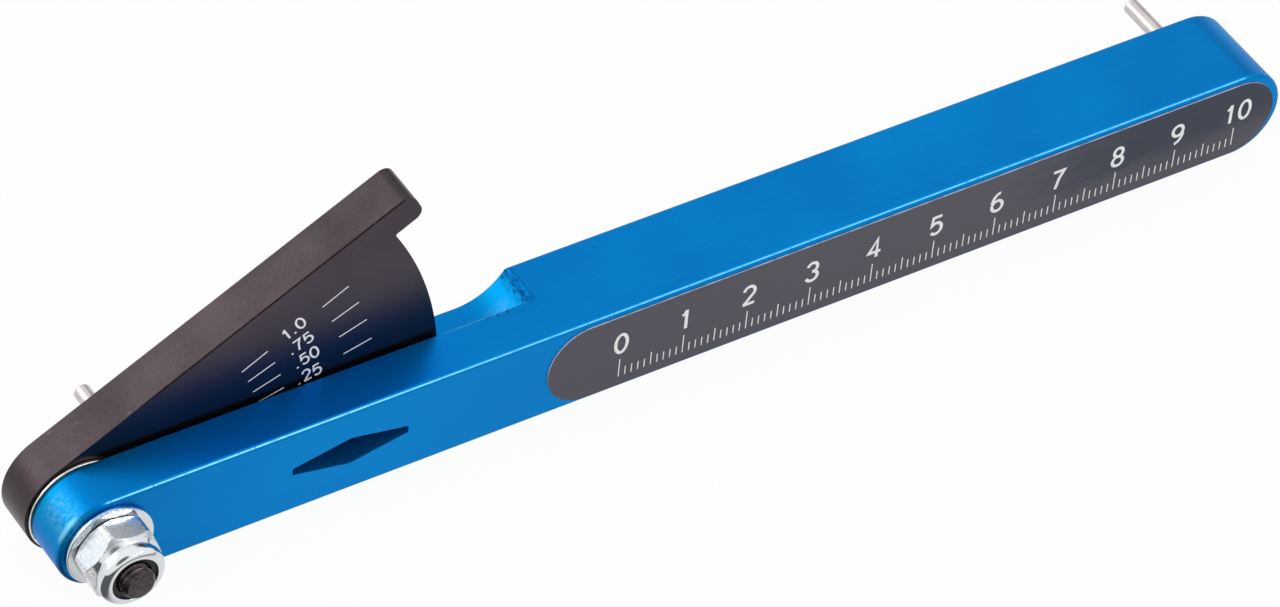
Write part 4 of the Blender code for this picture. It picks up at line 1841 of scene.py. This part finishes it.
@dataclass
class Studio:
    """The camera, the pale floor, the lamps and the world, in metres.

    Only reflections see the dusk, where the floor darkens in front of the gauge, and the card below the nut.
    """

    camera_place: Colour = (-0.37257, -0.51198, 0.60868)
    camera_turn: Colour = (46.1456, -4.2961, -31.6045)
    lens: float = 184.093
    sensor: float = 36.0
    clip: Limits = (0.05, 50.0)
    floor_size: float = 12.0
    floor_white: float = 0.86
    floor_glow: float = 0.955
    mirror_glow: float = 0.75
    ambient: float = 0.8
    zenith: float = 1.12
    zenith_from: Limits = (0.05, 0.75)
    dusk: Zone = Zone(y=(-0.025, -0.075))
    card: Zone = Zone(x=(-0.089, -0.095), y=(-0.0095, -0.0108))
    card_glow: float = 0.97
    dusk_level: float = 0.1
    flags: Tuple[Flag, ...] = (
        Flag((-0.30, -0.65, 0.70), 0.90, 0.97, 0.15),
        Flag((0.66, 0.62, 0.43), 0.955, 0.985, 0.4),
    )
    softboxes: Tuple[Softbox, ...] = (
        Softbox("rear_left_softbox", (-0.64, 0.58, 0.50), 0.9, 0.95, 0.5, 1.5),
        Softbox("front_strip", (0.42, -0.69, 0.59), 0.9, 0.5, 0.045, 9.0),
    )

    def build(self) -> None:
        """Set the whole studio up."""
        self._camera()
        self._floor()
        self._world()
        low, high = CAD_BOX
        for softbox in self.softboxes:
            softbox.build((low + high) / 2)
        bpy.context.scene.view_settings.view_transform = "Standard"

    def _camera(self) -> None:
        """Stand the camera where the photograph was taken from."""
        data = bpy.data.cameras.new("camera")
        data.lens = self.lens
        data.sensor_width = self.sensor
        data.clip_start, data.clip_end = self.clip
        camera = bpy.data.objects.new("camera", data)
        bpy.context.scene.collection.objects.link(camera)
        camera.location = self.camera_place
        camera.rotation_euler = Euler([math.radians(a) for a in self.camera_turn], "XYZ")
        bpy.context.scene.camera = camera

    def _floor(self) -> None:
        """Lay the floor under the gauge's lowest point."""
        form = bmesh.new()
        bmesh.ops.create_grid(form, x_segments=1, y_segments=1, size=self.floor_size / 2)
        floor = Workshop.finish("studio_floor", form)
        floor.location.z = CAD_BOX[0].z
        paper = bpy.data.materials.new("studio_paper")
        graph = Graph(paper)
        camera, mirrored = self._rays(graph)
        paper_white = (self.floor_white, self.floor_white, self.floor_white, 1.0)
        matte = graph.make("ShaderNodeBsdfDiffuse", {}, {"Color": paper_white})[0]
        x, y, _ = graph.axes(graph.make("ShaderNodeTexCoord")[3])
        card = self.card.mask(graph, {"x": x, "y": y})
        dusk = self.dusk.mask(graph, {"y": y}) | card
        white = graph.blend(mirrored * dusk, (1.0, 1.0, 1.0), (self.dusk_level,) * 3)
        glow = graph.make("ShaderNodeEmission", {}, {"Color": white, "Strength": 1.0})[0]
        share = (self.floor_glow * camera) | (mirrored * ((self.card_glow * card) | self.mirror_glow))
        mixed = graph.make("ShaderNodeMixShader", {}, {0: share, 1: matte, 2: glow})[0]
        graph.make("ShaderNodeOutputMaterial", {}, {"Surface": mixed})
        floor.data.materials.append(paper)

    @staticmethod
    def _rays(graph: Graph) -> Tuple[Socket, Socket]:
        """1 for a ray from the camera, and 1 for one that a reflection or clear glass sends on."""
        path = {socket.output.name: socket for socket in graph.make("ShaderNodeLightPath")}
        return path["Is Camera Ray"], path["Is Glossy Ray"] | path["Is Transmission Ray"]

    def _world(self) -> None:
        """A white backdrop, and for reflections a sky, a little brighter overhead, behind the flags."""
        world = bpy.data.worlds.new("studio_world")
        bpy.context.scene.world = world
        graph = Graph(world)
        direction = graph.make("ShaderNodeTexCoord")[0]
        camera, mirrored = self._rays(graph)
        shown = 1.0 + (self.zenith - 1.0) * graph.rise(graph.axes(direction)[2], *self.zenith_from)
        for flag in self.flags:
            shown = shown * flag.shade(graph, direction)
        plain = 1 - mirrored * (1 - camera)
        level = camera | (mirrored * shown) | (plain * self.ambient)
        backdrop = graph.make("ShaderNodeBackground", {}, {"Color": level, "Strength": 1.0})[0]
        graph.make("ShaderNodeOutputWorld", {}, {"Surface": backdrop})


def main() -> None:
    """Build the studio and every piece, and report each."""
    logging.basicConfig(level=logging.INFO, format="%(message)s")
    Studio().build()
    for assembly in (Bar(), SwingArm(), PivotStack(), FixedPin(), FanScale(), Label()):
        for piece in assembly.build():
            LOG.info("%s: %d faces", piece.name, len(piece.data.polygons))


if __name__ == "__main__":
    main()
